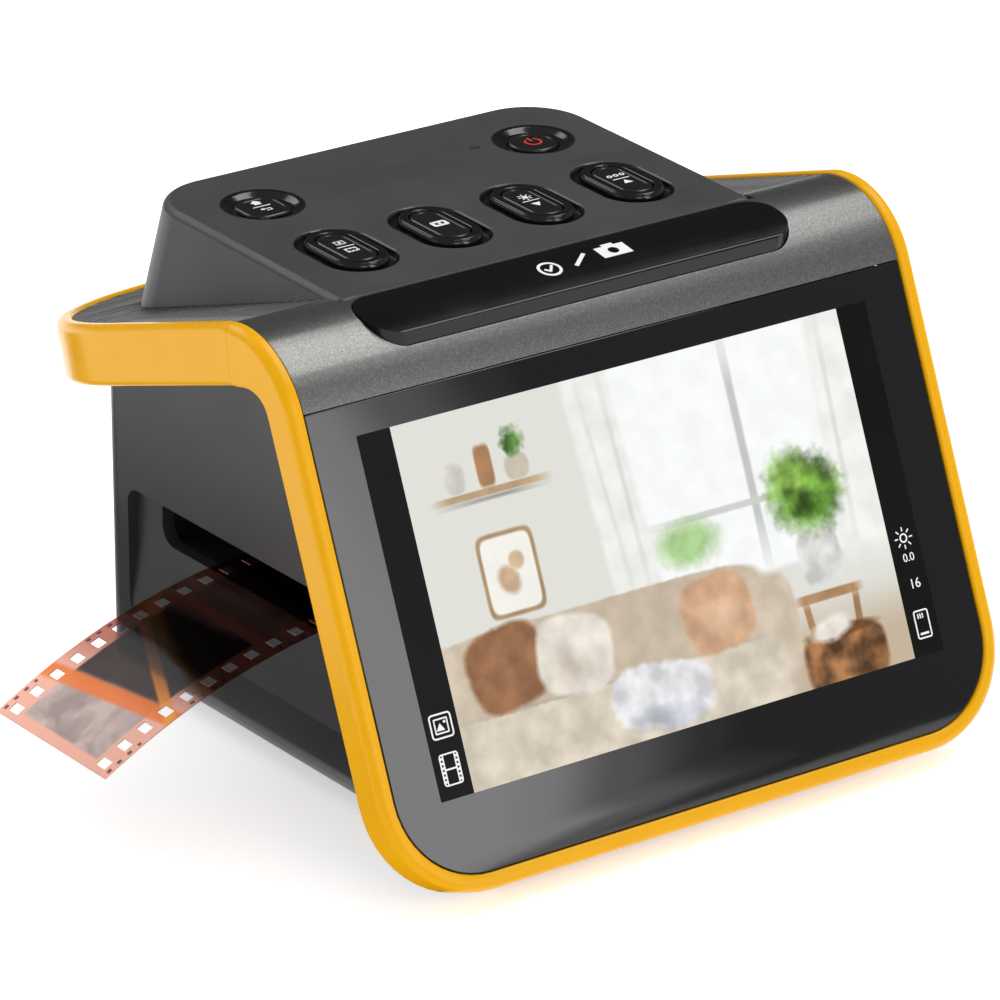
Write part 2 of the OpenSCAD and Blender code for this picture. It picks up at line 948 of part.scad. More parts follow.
slot_top = slot_z + slot_h;
slot_mid_z = slot_z + slot_h / 2;
film_z = slot_z + 4.2;
pad_t = scoop_d + 2.4;
pad_in = body_w / 2 - pad_t;
base_margin = 7;
base_w = body_w - 2 * base_margin;
base_front = face_at_z(body_front_d, body_bottom + body_wall)[0] + base_margin - 2;
base_rear = rear_low - base_margin;
base_l = base_rear - base_front;
base_mid = (base_front + base_rear) / 2;
ledge_w = base_margin - 1;
ledge_z = body_bottom + body_wall;

// Opening of the slot in the side view, as [y, z]
module slot_shape(grow) {
    w = slot_l + 2 * grow;
    h = slot_h + 2 * grow;
    r = slot_r + min(grow, 0);
    translate([film_y, slot_mid_z]) {
        translate([-w / 2, -h / 2 + r])
            square([w, h - r]);
        translate([-w / 2 + r, -h / 2])
            square([w - 2 * r, r + eps]);
        for (sx = [-1, 1])
            translate([sx * (w / 2 - r), -h / 2 + r])
                circle(r);
    }
}

// Thumb recess on the left side, deepest at the slot and running out below it
module scoop() {
    rear = film_y + slot_l / 2 + 8;
    r_low = 8;
    big_r = (scoop_h * scoop_h + scoop_d * scoop_d) / (2 * scoop_d);
    intersection() {
        translate([-body_w / 2 - 2, 0, 0])
            rotate([90, 0, 90])
                linear_extrude(scoop_d + 2)
                    translate([rear - scoop_l / 2, slot_top - scoop_h / 2])
                        round_rect(scoop_l, scoop_h, r_low - 5);
        translate([-body_w / 2 + scoop_d - big_r, 0, slot_top])
            rotate([-90, 0, 0])
                cylinder(r = big_r, h = far, $fn = 360);
    }
}

// Places of the bosses that take the base screws
boss_d = 7;
boss_x = base_w / 2 - 3.2;
boss_y = [base_front + 18, base_rear - 18];
boss_h = 7;
screw_head = 1.8 * screw_d;
head_h = 1.1;

// Connectors on the rear wall, as [x, z, width, height]
port_z = board_z + main_board_t + 1.9;
port_half = boss_x - boss_d / 2;
socket_wall = 0.8;
card_w = 24;
socket_w = card_w + 2 * socket_wall + 0.4;
usb = [-0.72 * port_half, port_z, 9, 3.3];
hdmi = [-0.18 * port_half, port_z, 11.2, 3.4];
card = [port_half - socket_w / 2 - 1.5, port_z, card_w, 2.1];

module port_hole(p, grow) {
    translate([p[0], far, p[1]])
        rotate([90, 0, 0])
            linear_extrude(far - rear_low + 12)
                square([p[2] + 2 * grow, p[3] + 2 * grow], center = true);
}

module body_shell() {
    color("dimgray")
        set_down()
            difference() {
                union() {
                    difference() {
                        body_block(0, body_bottom, body_foot_r);
                        body_block(body_wall, body_bottom + body_wall, body_foot_r - body_wall);
                        translate([-base_w / 2, base_front, 0])
                            cube([base_w, base_l, 9]);
                    }
                    intersection() {
                        body_block(0, body_bottom, body_foot_r);
                        translate([0, base_mid, ledge_z - eps])
                            linear_extrude(body_wall)
                                difference() {
                                    square([body_w, base_l + 2 * ledge_w], center = true);
                                    square([base_w - 2 * ledge_w, base_l - 2 * ledge_w], center = true);
                                }
                    }
                    for (sx = [-1, 1])
                        intersection() {
                            translate([sx * (body_w / 2 - pad_t / 2), film_y + 4,
                                       slot_top - scoop_h / 2 + 1])
                                cube([pad_t, scoop_l + 6, scoop_h + 5], center = true);
                            body_block(0, body_bottom, body_foot_r);
                        }
                    for (sx = [-1, 1], y = boss_y)
                        translate([sx * boss_x, y, ledge_z])
                            cylinder(d = boss_d, h = body_wall + boss_h);
                }
                across(far)
                    slot_shape(0);
                scoop();
                mirror([1, 0, 0])
                    scoop();
                for (sx = [-1, 1], y = boss_y)
                    translate([sx * boss_x, y, 0])
                        cylinder(d = screw_d + 0.1, h = ledge_z + boss_h);
                for (p = [usb, hdmi, card])
                    port_hole(p, 0.3);
            }
}

module base_plate() {
    color("dimgray")
        set_down()
            difference() {
                translate([0, base_mid, body_bottom])
                    linear_extrude(body_wall - face_gap)
                        round_rect(base_w - 2 * fit_gap, base_l - 2 * fit_gap, 2);
                for (sx = [-1, 1], y = foot_y)
                    translate([sx * foot_x, y, 0])
                        cylinder(d = stud_d + 0.1, h = far);
                for (sx = [-1, 1], y = boss_y)
                    translate([sx * boss_x, y, 0]) {
                        cylinder(d = screw_head + 0.1, h = body_bottom + head_h + 0.1);
                        cylinder(d = screw_d + 0.1, h = far);
                    }
            }
}

// Rubber feet with a stud that plugs into the base plate
foot_x = base_w / 2 - ledge_w - foot_d / 2 - 1;
foot_y = [base_front + foot_d / 2 + 5, base_rear - foot_d / 2 - 5];
stud_d = foot_d - 3;

module rubber_feet() {
    color("black")
        set_down()
            for (sx = [-1, 1], y = foot_y)
                translate([sx * foot_x, y, 0]) {
                    cylinder(d = foot_d, h = body_bottom - face_gap);
                    cylinder(d = stud_d, h = ledge_z + 0.8);
                }
}

module base_screws() {
    color("silver")
        set_down()
            for (sx = [-1, 1], y = boss_y)
                translate([sx * boss_x, y, 0]) {
                    translate([0, 0, body_bottom])
                        cylinder(d = screw_head, h = head_h);
                    translate([0, 0, body_bottom + head_h - eps])
                        cylinder(d = screw_d, h = boss_h);
                }
}

// ---- Film tray and film --------------------------------------------------------------

channel_wall = 2;
channel_half = pad_in - fit_gap;
tray_w = slot_l - 2 * tray_gap;
tray_z = slot_z + tray_gap;
tray_in = body_w / 2 - tray_l;
tray_top = tray_z + tray_h;
film_low = film_z;
film_run = 0.1;
lid_z = film_low + film_t + film_run;
pin_d = 1.6;
pin_y = film_y + tray_w / 2 - 2;
pin_l = tray_l - 12;

// Prism of the frame window through the tray and its channel
module gate(grow) {
    translate([0, film_y, 0])
        linear_extrude(far, center = true)
            square([gate_w + 2 * grow, gate_h + 2 * grow], center = true);
}

module pin_groove() {
    translate([tray_in + 5, pin_y, lid_z - face_gap / 2])
        rotate([0, 90, 0])
            cylinder(d = pin_d + 0.1, h = pin_l + 2);
}

// Length of the tray between two heights, with the slot's round lower corners
module tray_part(low, high) {
    intersection() {
        translate([tray_in, 0, 0])
            rotate([90, 0, 90])
                linear_extrude(tray_l + grip_l)
                    slot_shape(-tray_gap);
        translate([-far, -far, low])
            cube([2 * far, 2 * far, high - low]);
    }
}

module tray_channel() {
    w = slot_l + 2 * channel_wall;
    h = slot_h + 2 * channel_wall;
    color("black")
        set_down()
            difference() {
                translate([-channel_half, film_y - w / 2, slot_z - channel_wall])
                    cube([2 * channel_half, w, h]);
                translate([-channel_half - 1, film_y - slot_l / 2, slot_z])
                    cube([2 * channel_half + 2, slot_l, slot_h]);
                gate(2);
            }
}

tab_w = 40;
tab_h = 6;
tab_drop = 4;

module tray_base() {
    ridge = lid_z - face_gap;
    tab_in = body_w / 2 - scoop_d + 1;
    color("black")
        set_down()
            difference() {
                union() {
                    tray_part(tray_z, ridge);
                    translate([tab_in, film_y - tab_w / 2, slot_z - tab_drop])
                        cube([body_w / 2 + grip_l - tab_in, tab_w, tab_h]);
                }
                translate([tray_in - 1, film_y - film_w / 2 - film_run, film_low - film_run])
                    cube([tray_l + grip_l + 2, film_w + 2 * film_run, far]);
                gate(0);
                pin_groove();
            }
}

module tray_lid() {
    color("black")
        set_down()
            difference() {
                tray_part(lid_z, tray_top);
                gate(0);
                pin_groove();
            }
}

module hinge_pin() {
    color("silver")
        set_down()
            translate([tray_in + 6, pin_y, lid_z - face_gap / 2])
                rotate([0, 90, 0])
                    cylinder(d = pin_d, h = pin_l);
}

film_l = perf_pitch * perf_count;
curl_rad = film_curl * PI / 180;
film_bend_r = (film_l + 2 * tray_in) / (curl_rad + sin(film_curl));
film_reach = -tray_in + film_bend_r * sin(film_curl);
flat_l = film_reach - tray_in;
perf_l = 1.98;
perf_w = 2.8;
perf_edge = 2;

module film_strip() {
    color("sienna")
        set_down()
            difference() {
                translate([0, film_y + film_w / 2, 0])
                    rotate([90, 0, 0])
                        linear_extrude(film_w) {
                            translate([tray_in, film_low])
                                square([flat_l, film_t]);
                            translate([tray_in, film_low - film_bend_r])
                                intersection() {
                                    difference() {
                                        circle(film_bend_r + film_t, $fn = 360);
                                        circle(film_bend_r, $fn = 360);
                                    }
                                    polygon([[0, 0], [0, 2 * film_bend_r],
                                             2 * film_bend_r * [-sin(film_curl), cos(film_curl)]]);
                                }
                        }
                for (i = [0 : perf_count - 1], sy = [-1, 1])
                    perforation((i + 0.5) * perf_pitch, sy * (film_w / 2 - perf_edge - perf_w / 2));
            }
}

// A perforation at a distance along the film from its right end
module perforation(run, off) {
    turn = run > flat_l ? (run - flat_l) / film_bend_r * 180 / PI : 0;
    along = run > flat_l ? 0 : flat_l - run;
    translate([tray_in + along, film_y + off, film_low - film_bend_r])
        rotate([0, -turn, 0])
            translate([0, 0, film_bend_r])
                cube([perf_l, perf_w, 2], center = true);
}

// ---- Optics --------------------------------------------------------------------------

light_w = 56;
light_l = 44;
light_wall = 1.6;
light_top = slot_z - channel_wall - face_gap;
light_low = light_top - light_box_h;
ledge = 1;
sheet_seat = 2.4;

module light_box() {
    color("white")
        set_down()
            translate([0, film_y, 0])
                difference() {
                    translate([-light_w / 2, -light_l / 2, light_low])
                        cube([light_w, light_l, light_box_h]);
                    translate([-light_w / 2 + light_wall, -light_l / 2 + light_wall, light_low - 1])
                        cube([light_w - 2 * light_wall, light_l - 2 * light_wall, sheet_seat + 1]);
                    translate([-light_w / 2 + light_wall + ledge, -light_l / 2 + light_wall + ledge,
                               light_low - 1])
                        cube([light_w - 2 * light_wall - 2 * ledge, light_l - 2 * light_wall - 2 * ledge,
                              light_box_h + 2]);
                    translate([-light_w / 2 + light_wall, -light_l / 2 + light_wall, light_top - sheet_seat])
                        cube([light_w - 2 * light_wall, light_l - 2 * light_wall, sheet_seat + 1]);
                }
}

// Aluminium board with rows of light diodes
led_pitch = 10;
led_size = [3.2, 2.8, 1.2];

module led_board() {
    color("white")
        set_down()
            translate([0, film_y, light_low + 0.9]) {
                translate([-light_w / 2 + light_wall + fit_gap, -light_l / 2 + light_wall + fit_gap, 0])
                    cube([light_w - 2 * light_wall - 2 * fit_gap,
                          light_l - 2 * light_wall - 2 * fit_gap, 1.4]);
                for (i = [-2 : 2], j = [-1 : 1])
                    translate([i * led_pitch - led_size.x / 2, j * led_pitch - led_size.y / 2, 1.4 - eps])
                        cube(led_size);
            }
}

module diffuser() {
    color("white")
        set_down()
            translate([-light_w / 2 + light_wall + fit_gap, film_y - light_l / 2 + light_wall + fit_gap,
                       light_top - 2.3])
                cube([light_w - 2 * light_wall - 2 * fit_gap,
                      light_l - 2 * light_wall - 2 * fit_gap, 2.2]);
}

hood_low = slot_top + channel_wall + face_gap;
hood_h = 17;
hood_wall = 1.8;
barrel_low = hood_low + hood_h - 2;
lens_bore = lens_d - 4;

// Tapered frame drawn as a pyramid stump
module stump(w, l, top, h) {
    hull() {
        translate([-w / 2, -l / 2, 0])
            cube([w, l, eps]);
        translate([-top / 2, -top / 2, h - eps])
            cube([top, top, eps]);
    }
}

module camera_housing() {
    neck = lens_d + 5;
    color("black")
        set_down()
            translate([0, film_y, hood_low])
                difference() {
                    union() {
                        stump(gate_w + 10, gate_h + 10, neck, hood_h);
                        translate([-gate_w / 2 - 9, -gate_h / 2 - 9, 0])
                            cube([gate_w + 18, gate_h + 18, 2]);
                    }
                    translate([0, 0, -eps])
                        stump(gate_w + 10 - 2 * hood_wall, gate_h + 10 - 2 * hood_wall,
                              neck - 2 * hood_wall - 2, hood_h - 2);
                    translate([0, 0, hood_h - 5])
                        cylinder(d = lens_d + 0.1, h = 10);
                }
}

module lens_barrel() {
    flange = 1.5;
    color("black")
        set_down()
            translate([0, film_y, barrel_low])
                difference() {
                    union() {
                        cylinder(d = lens_d, h = lens_h);
                        translate([0, 0, lens_h - flange])
                            cylinder(d = lens_d + 6, h = flange);
                    }
                    translate([0, 0, -1])
                        cylinder(d = lens_bore - 3, h = lens_h + 2);
                    translate([0, 0, 1.5])
                        cylinder(d = lens_bore, h = lens_h);
                }
}

module lens_glass() {
    color("lightblue")
        set_down()
            for (z = [1.55, 8])
                translate([0, film_y, barrel_low + z])
                    cylinder(d = lens_bore - 0.1, h = 2.6);
}

module sensor_board() {
    w = lens_d + 10;
    color("darkgreen")
        set_down()
            translate([-w / 2, film_y - w / 2, barrel_low + lens_h + face_gap])
                cube([w, w, 1.2]);
}

// ---- Main board and connectors -------------------------------------------------------

main_w = 2 * (boss_x - boss_d / 2) - 1;
main_front = base_front + 4;
main_rear = rear_low - body_wall - 2.5;
post_inset = 14;
post_x = main_w / 2 - post_inset;
post_y = [main_front + post_inset, main_rear - post_inset - 2];
post_d = 5;

module board_posts() {
    color("goldenrod")
        set_down()
            for (sx = [-1, 1], y = post_y)
                translate([sx * post_x, y, ledge_z])
                    cylinder(d = post_d, h = post_h);
}

chip = 12;
chip_side = 6;
chip_back = 26;

module main_board() {
    color("darkgreen")
        set_down() {
            translate([-main_w / 2, main_front, board_z])
                cube([main_w, main_rear - main_front, main_board_t]);
            translate([-main_w / 2 + chip_side, main_rear - chip_back, board_z + main_board_t - eps])
                cube([chip, chip, 1]);
        }
}

port_depth = 7.5;
wall_y = rear_low - 0.2;

// Metal shell of a connector, open to the rear
module port_shell(p, depth) {
    skin = 0.4;
    translate([p[0] - p[2] / 2, wall_y - depth, p[1] - p[3] / 2])
        difference() {
            cube([p[2], depth, p[3]]);
            translate([skin, 1, skin])
                cube([p[2] - 2 * skin, depth, p[3] - 2 * skin]);
        }
}

module usb_port() {
    color("silver")
        set_down() {
            port_shell(usb, port_depth);
            translate([usb[0] - 3.3, wall_y - port_depth + 0.5, usb[1] - 0.35])
                cube([6.6, port_depth - 1.5, 0.7]);
        }
}

module hdmi_port() {
    color("silver")
        set_down() {
            port_shell(hdmi, port_depth);
            translate([hdmi[0] - 4, wall_y - port_depth + 0.5, hdmi[1] - 0.4])
                cube([8, port_depth - 1.5, 0.8]);
        }
}

card_l = 32;
card_out = 1.5;

module card_socket() {
    h = card[3] + 2 * 0.5 + 0.4;
    l = card_l - 6;
    color("silver")
        set_down()
            translate([card[0] - socket_w / 2, wall_y - body_wall - 1.5 - l, card[1] - h / 2])
                difference() {
                    cube([socket_w, l, h]);
                    translate([socket_wall, socket_wall, 0.5])
                        cube([card[2] + 0.4, l, card[3] + 0.4]);
                }
}

module memory_card() {
    notch = 4;
    color("navy")
        set_down()
            translate([card[0], wall_y + card_out, card[1] - card[3] / 2])
                linear_extrude(card[3])
                    polygon([
                        [-card[2] / 2, 0],
                        [card[2] / 2, 0],
                        [card[2] / 2, -card_in_l],
                        [-card[2] / 2 + notch, -card_in_l],
                        [-card[2] / 2, -card_in_l + notch]
                    ]);
}
card_in_l = card_l - 4;

// ---- Ribbon cables -------------------------------------------------------------------

module display_flex() {
    s_high = lcd_s + 12;
    hug = screen_depth + 0.5;
    low = face_at_z(hug, board_z + main_board_t + 0.1);
    s_low = (low - toe) * face_up;
    color("orange")
        set_down() {
            on_face() {
                translate([flex_x - flex_w / 2, s_high - flex_t, -hug])
                    cube([flex_w, flex_t, hug + lcd_z - face_gap]);
                translate([flex_x - flex_w / 2, s_low, -hug - flex_t])
                    cube([flex_w, s_high - s_low, flex_t]);
            }
            translate([flex_x - flex_w / 2, low[0], board_z + main_board_t + 0.1])
                cube([flex_w, 12, flex_t]);
        }
}

key_flex_x = flex_inset + 2 - body_w / 2;
flex_drop_y = film_y + slot_l / 2 + channel_wall + 1.2;
flex_hole_v = (flex_drop_y - arm_start[0]) / cos(arm_slope) + (arm_trim_t - 1) * tan(arm_slope);

module key_flex() {
    start_v = board_rear - 6;
    under = -board_drop - board_t - face_gap - flex_t;
    end_v = (flex_drop_y - crest[0]) / cos(console_rise) - under * tan(console_rise);
    top_z = crest[1] + end_v * sin(console_rise) + under * cos(console_rise);
    low_z = board_z + main_board_t + 0.1;
    color("orange")
        set_down() {
            on_console()
                translate([key_flex_x - flex_w / 2, start_v, under])
                    cube([flex_w, end_v - start_v + flex_t, flex_t]);
            translate([key_flex_x - flex_w / 2, flex_drop_y, low_z])
                cube([flex_w, flex_t, top_z - low_z + flex_t / 2]);
        }
}

front_trim();
arm_trim();
front_glass();
lcd_panel();
display_carrier();
display_housing();
arm_housing();
shoulder_cover();
ribbed_plate();
console_cover();
key_rings();
status_lens();
shutter_bar();
power_key();
home_key();
mode_key();
gallery_key();
bright_key();
colour_key();
key_board();
tact_switches();
body_shell();
base_plate();
rubber_feet();
base_screws();
tray_channel();
tray_base();
tray_lid();
hinge_pin();
film_strip();
light_box();
led_board();
diffuser();
camera_housing();
lens_barrel();
lens_glass();
sensor_board();
board_posts();
main_board();
usb_port();
hdmi_port();
card_socket();
memory_card();
display_flex();
key_flex();
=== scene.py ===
# %% [markdown]
# # A film negative scanner
# The scanner has a leaning screen in a yellow rim. The rim runs over the shoulder and
# round a ribbed arm, and a console with seven keys stands on the arm. The solids come
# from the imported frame. This script dresses them, and adds what the solids leave out.

# %% Load the frame
import json
import math

import bmesh
import bpy
from mathutils import Matrix, Vector


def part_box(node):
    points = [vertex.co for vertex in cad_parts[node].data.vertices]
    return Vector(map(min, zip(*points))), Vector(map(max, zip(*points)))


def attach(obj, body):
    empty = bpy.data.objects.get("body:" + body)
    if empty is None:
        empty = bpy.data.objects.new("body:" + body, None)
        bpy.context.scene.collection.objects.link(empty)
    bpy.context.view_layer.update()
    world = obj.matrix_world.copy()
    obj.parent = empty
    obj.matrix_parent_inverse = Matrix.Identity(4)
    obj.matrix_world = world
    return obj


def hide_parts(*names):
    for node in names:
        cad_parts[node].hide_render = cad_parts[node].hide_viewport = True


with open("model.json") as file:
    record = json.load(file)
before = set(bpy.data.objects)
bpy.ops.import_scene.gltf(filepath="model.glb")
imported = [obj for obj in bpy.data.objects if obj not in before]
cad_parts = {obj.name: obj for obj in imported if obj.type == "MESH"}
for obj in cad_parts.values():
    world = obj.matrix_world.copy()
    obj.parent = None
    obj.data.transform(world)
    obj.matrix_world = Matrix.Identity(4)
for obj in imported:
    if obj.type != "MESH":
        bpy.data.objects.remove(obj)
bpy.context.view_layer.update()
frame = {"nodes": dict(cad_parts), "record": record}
MM = 0.001
scene = bpy.context.scene
scene.view_settings.view_transform = "Standard"
bpy.ops.object.select_all(action="DESELECT")
print("frame:", len(frame["nodes"]), "nodes")

# %% [markdown]
# ## The camera
# The camera looks down on the front left corner from a little over a metre away. A long
# lens keeps the edges almost parallel. Its place is given by a turn round the object and
# a lift over the horizon.

# %% Camera
VIEW_TURN, VIEW_LIFT = math.radians(35.98), math.radians(22.39)
VIEW_AIM = Vector((0, -52.225, 49.9)) * MM
VIEW_BACK = Vector((-27.87, 7.84, 1142.31)) * MM

# The columns are the camera's right, its top, and its back, away from what it looks at.
axes = (Matrix.Rotation(-VIEW_TURN, 3, "Z")
        @ Matrix.Rotation(math.pi / 2 - VIEW_LIFT, 3, "X"))
bpy.ops.object.camera_add()
camera = bpy.context.object
camera.name = "photo_camera"
camera.matrix_world = Matrix.Translation(VIEW_AIM + axes @ VIEW_BACK) @ axes.to_4x4()
camera.data.lens = 237.27
camera.data.sensor_width = 36
camera.data.clip_start = 0.05
camera.data.clip_end = 60
scene.camera = camera
print("camera at", [round(x, 3) for x in camera.matrix_world.translation])

# %% [markdown]
# ## Building with nodes
# The sky, the studio cards and the finishes are networks of nodes. One helper adds a
# node and fills its inputs, with plain values or with what another node puts out.

# %% Node helpers
def fill(tree, socket, value):
    """Links an input to the output of another node, or sets it to a plain value."""
    if isinstance(value, bpy.types.NodeSocket):
        tree.links.new(value, socket)
    else:
        socket.default_value = value


def add_node(tree, kind, *feeds, **values):
    """Adds a node. A value goes to the input of its name, or else to the setting, and
    then the feeds fill the inputs in turn."""
    node = tree.nodes.new("ShaderNode" + kind)
    for key, value in values.items():
        label = key.replace("_", " ")
        if label in node.inputs:
            fill(tree, node.inputs[label], value)
        else:
            setattr(node, key, value)
    for socket, value in zip(node.inputs, feeds):
        fill(tree, socket, value)
    return node


def reach_along(tree, place, way):
    """How far a place lies along a direction."""
    return add_node(tree, "VectorMath", place, way, operation="DOT_PRODUCT").outputs["Value"]


def map_range(tree, value, *ends, **values):
    """Carries a value from one range to another, which is 0 to 1 if it isn't given."""
    return add_node(tree, "MapRange", value, *ends, **values).outputs["Result"]


def feed(paint, **values):
    """Fills inputs of a material's shader."""
    inputs = paint.node_tree.nodes["Principled BSDF"].inputs
    for key, value in values.items():
        fill(paint.node_tree, inputs[key.replace("_", " ")], value)
    return paint


def new_finish(name, color, roughness, **values):
    """A material with one Principled shader, its constant values set on its sockets."""
    paint = bpy.data.materials.new(name)
    paint.use_nodes = True
    paint.diffuse_color = (*color, 1)
    return feed(paint, Base_Color=(*color, 1), Roughness=roughness, **values)

# %% [markdown]
# ## Floor and light
# A white floor and an even sky give the soft shadow of a product picture. Gloss only
# shows when there is something to mirror, so soft boxes draw the bright lines on the rim
# and the band on the shoulder. For mirrored light alone the sky is dimmer, and dark low
# down behind the scanner, so that the black plastics on top stay black.

# %% Floor
def studio_sheet(name, size, paint, place=Matrix.Identity(4), hidden_from=()):
    """A flat sheet of the studio, hidden from some kinds of ray."""
    bpy.ops.mesh.primitive_plane_add(size=1)
    sheet = bpy.context.object
    sheet.name = name
    sheet.data.transform(Matrix.Diagonal((*size, 1, 1)))
    sheet.matrix_world = place
    sheet.data.materials.append(paint)
    for ray in hidden_from:
        setattr(sheet, ray, False)


floor_paint = new_finish("pale_floor", (0.93, 0.93, 0.93), 0.7,
                         Emission_Color=(1, 1, 1, 1), Emission_Strength=0.5)
studio_sheet("pale_floor", (30, 30), floor_paint)

# %% Sky
SKY_LIGHT, SKY_MIRRORED, SKY_DARK = 0.74, 0.3, 0.05
DARK_WAY, DARK_FROM, DARK_FULL = Vector((0.56, 0.76, 0.33)).normalized(), 0.62, 0.9
sky = bpy.data.worlds.new("studio_sky")
sky.use_nodes = True
tree = sky.node_tree
air = tree.nodes["Background"]
air.inputs["Color"].default_value = (1, 1, 1, 1)
toward = reach_along(tree, add_node(tree, "TexCoord").outputs["Generated"], DARK_WAY)
mirrored = map_range(tree, toward, DARK_FROM, DARK_FULL, SKY_MIRRORED, SKY_DARK,
                     interpolation_type="SMOOTHSTEP")
ray = add_node(tree, "LightPath")
level = add_node(tree, "Mix", Factor=ray.outputs["Is Glossy Ray"], A=SKY_LIGHT, B=mirrored)
fill(tree, air.inputs["Strength"], level.outputs["Result"])
scene.world = sky


# %% Soft boxes
def soft_box(name, place, aim, size, watts):
    """An area light at a place, turned towards a point."""
    place, aim = Vector(place), Vector(aim)
    bpy.ops.object.light_add(type="AREA", location=place)
    lamp = bpy.context.object
    lamp.name = name
    lamp.rotation_mode = "QUATERNION"
    lamp.rotation_quaternion = (aim - place).to_track_quat("-Z", "Y")
    lamp.data.shape = "RECTANGLE"
    lamp.data.size, lamp.data.size_y = size
    lamp.data.energy = watts
    lamp.visible_camera = False
    return lamp


soft_box("band_box", (0.55, -0.1, 1.1), (0, 0, 0.08), (1.0, 0.45), 7)
soft_box("left_box", (-1.4, 0.5, 0.6), (0, 0, 0.05), (0.7, 0.7), 0.7)
soft_box("rear_box", (-0.25, 0.9, 0.85), (0, 0, 0.09), (0.8, 0.5), 3.5)
soft_box("front_box", (-0.5, -1.8, 1.0), (0, 0, 0.05), (0.8, 0.6), 4)
print("lights:", len(bpy.data.lights))

# %% [markdown]
# Two cards show in mirrored light and nowhere else. One fades from dark to light across
# the glass. The other lies black on the floor, so that the body's side mirrors no white.

# %% Mirrored cards
MIRRORED_ONLY = ("visible_camera", "visible_diffuse", "visible_shadow", "visible_transmission")


def object_place(tree):
    return add_node(tree, "TexCoord").outputs["Object"]


def color_ramp(tree, value, *stops, interpolation="LINEAR"):
    """A colour for each value, between stops that are a position and a colour each."""
    node = add_node(tree, "ValToRGB", value)
    node.color_ramp.interpolation = interpolation
    elements = node.color_ramp.elements
    for where, color in stops[1:-1]:
        elements.new(where)
    for element, (where, color) in zip(elements, stops):
        element.position = where
        element.color = (*color, 1)
    return node.outputs["Color"]


CARD_WAY = Vector((0.543, -0.80, 0.253)).normalized()
CARD_SPREAD = (-0.035, 0.265)
CARD_FADE = ((0.0, 0.06), (0.15, 0.11), (0.5, 0.38), (0.8, 0.88), (1.0, 1.0))
card_paint = bpy.data.materials.new("fading_card")
card_paint.use_nodes = True
tree = card_paint.node_tree
tree.nodes.clear()
across = map_range(tree, reach_along(tree, object_place(tree), (0.985, -0.17, 0)), *CARD_SPREAD)
fade = color_ramp(tree, across, *[(where, (light,) * 3) for where, light in CARD_FADE],
                  interpolation="EASE")
add_node(tree, "OutputMaterial", add_node(tree, "Emission", fade, 4.5).outputs[0])
card_turn = (-CARD_WAY).to_track_quat("Z", "Y").to_matrix().to_4x4()
studio_sheet("fading_card", (0.9, 1.2), card_paint,
             Matrix.Translation(Vector((0, -0.05, 0.05)) + CARD_WAY) @ card_turn, MIRRORED_ONLY)

dark_paint = new_finish("dark_card", (0.01, 0.01, 0.01), 0.5, Specular_IOR_Level=0.0)
studio_sheet("dark_card", (0.07, 0.36), dark_paint,
             Matrix.Translation((-0.088, 0.07, 0.0006)), MIRRORED_ONLY)
print("cards: fading_card, dark_card")

# %% [markdown]
# ## Finishes
# Every plastic has some grain, or it looks like painted air. A noise texture gives both
# the small bumps and a slight change of roughness. The noise is wrapped in a node group
# once, and each finish sets its own scale and depth.

# %% Grain
MOTTLE_SCALE = 60.0
MOTTLE_RANGE = (0.3, 0.7)


def new_group(name, inputs, outputs):
    """A node group, with what it is given and the inputs of what it puts out."""
    group = bpy.data.node_groups.new(name, "ShaderNodeTree")
    for label, kind, value in inputs:
        socket = group.interface.new_socket(label, in_out="INPUT",
                                            socket_type="NodeSocket" + kind)
        if value is not None:
            socket.default_value = value
    for label in outputs:
        group.interface.new_socket(label, in_out="OUTPUT", socket_type="NodeSocketFloat")
    return (group, group.nodes.new("NodeGroupInput").outputs,
            group.nodes.new("NodeGroupOutput").inputs)


def make_grain_group():
    """A group that turns a place into fine grain and a slow mottle, both from 0 to 1."""
    group, given, put_out = new_group(
        "moulded_grain", (("Vector", "Vector", None), ("Grain Scale", "Float", 3000.0),
                          ("Mottle Scale", "Float", MOTTLE_SCALE)), ("Grain", "Mottle"))
    for label, detail in (("Grain", 2.0), ("Mottle", 3.0)):
        noise = add_node(group, "TexNoise", given["Vector"], Scale=given[label + " Scale"],
                         Detail=detail, Roughness=0.55)
        fill(group, put_out[label], noise.outputs["Fac"])
    return group


grain_group = make_grain_group()


def add_grain(paint, scale, depth, strength, low, high, tint=0.0):
    """Bumps from the fine grain, roughness and a slight tint from the mottle."""
    tree = paint.node_tree
    grain = add_node(tree, "Group", node_tree=grain_group, Vector=object_place(tree),
                     Grain_Scale=scale, Mottle_Scale=MOTTLE_SCALE).outputs
    bump = add_node(tree, "Bump", Strength=strength, Distance=depth, Height=grain["Grain"])
    feed(paint, Normal=bump.outputs["Normal"],
         Roughness=map_range(tree, grain["Mottle"], *MOTTLE_RANGE, low, high))
    if tint:
        base = paint.diffuse_color[:3]
        feed(paint, Base_Color=color_ramp(tree, grain["Mottle"], *[
            (where, [min(1, c * share) for c in base])
            for where, share in zip(MOTTLE_RANGE, (1 - tint, 1 + tint))]))
    return paint


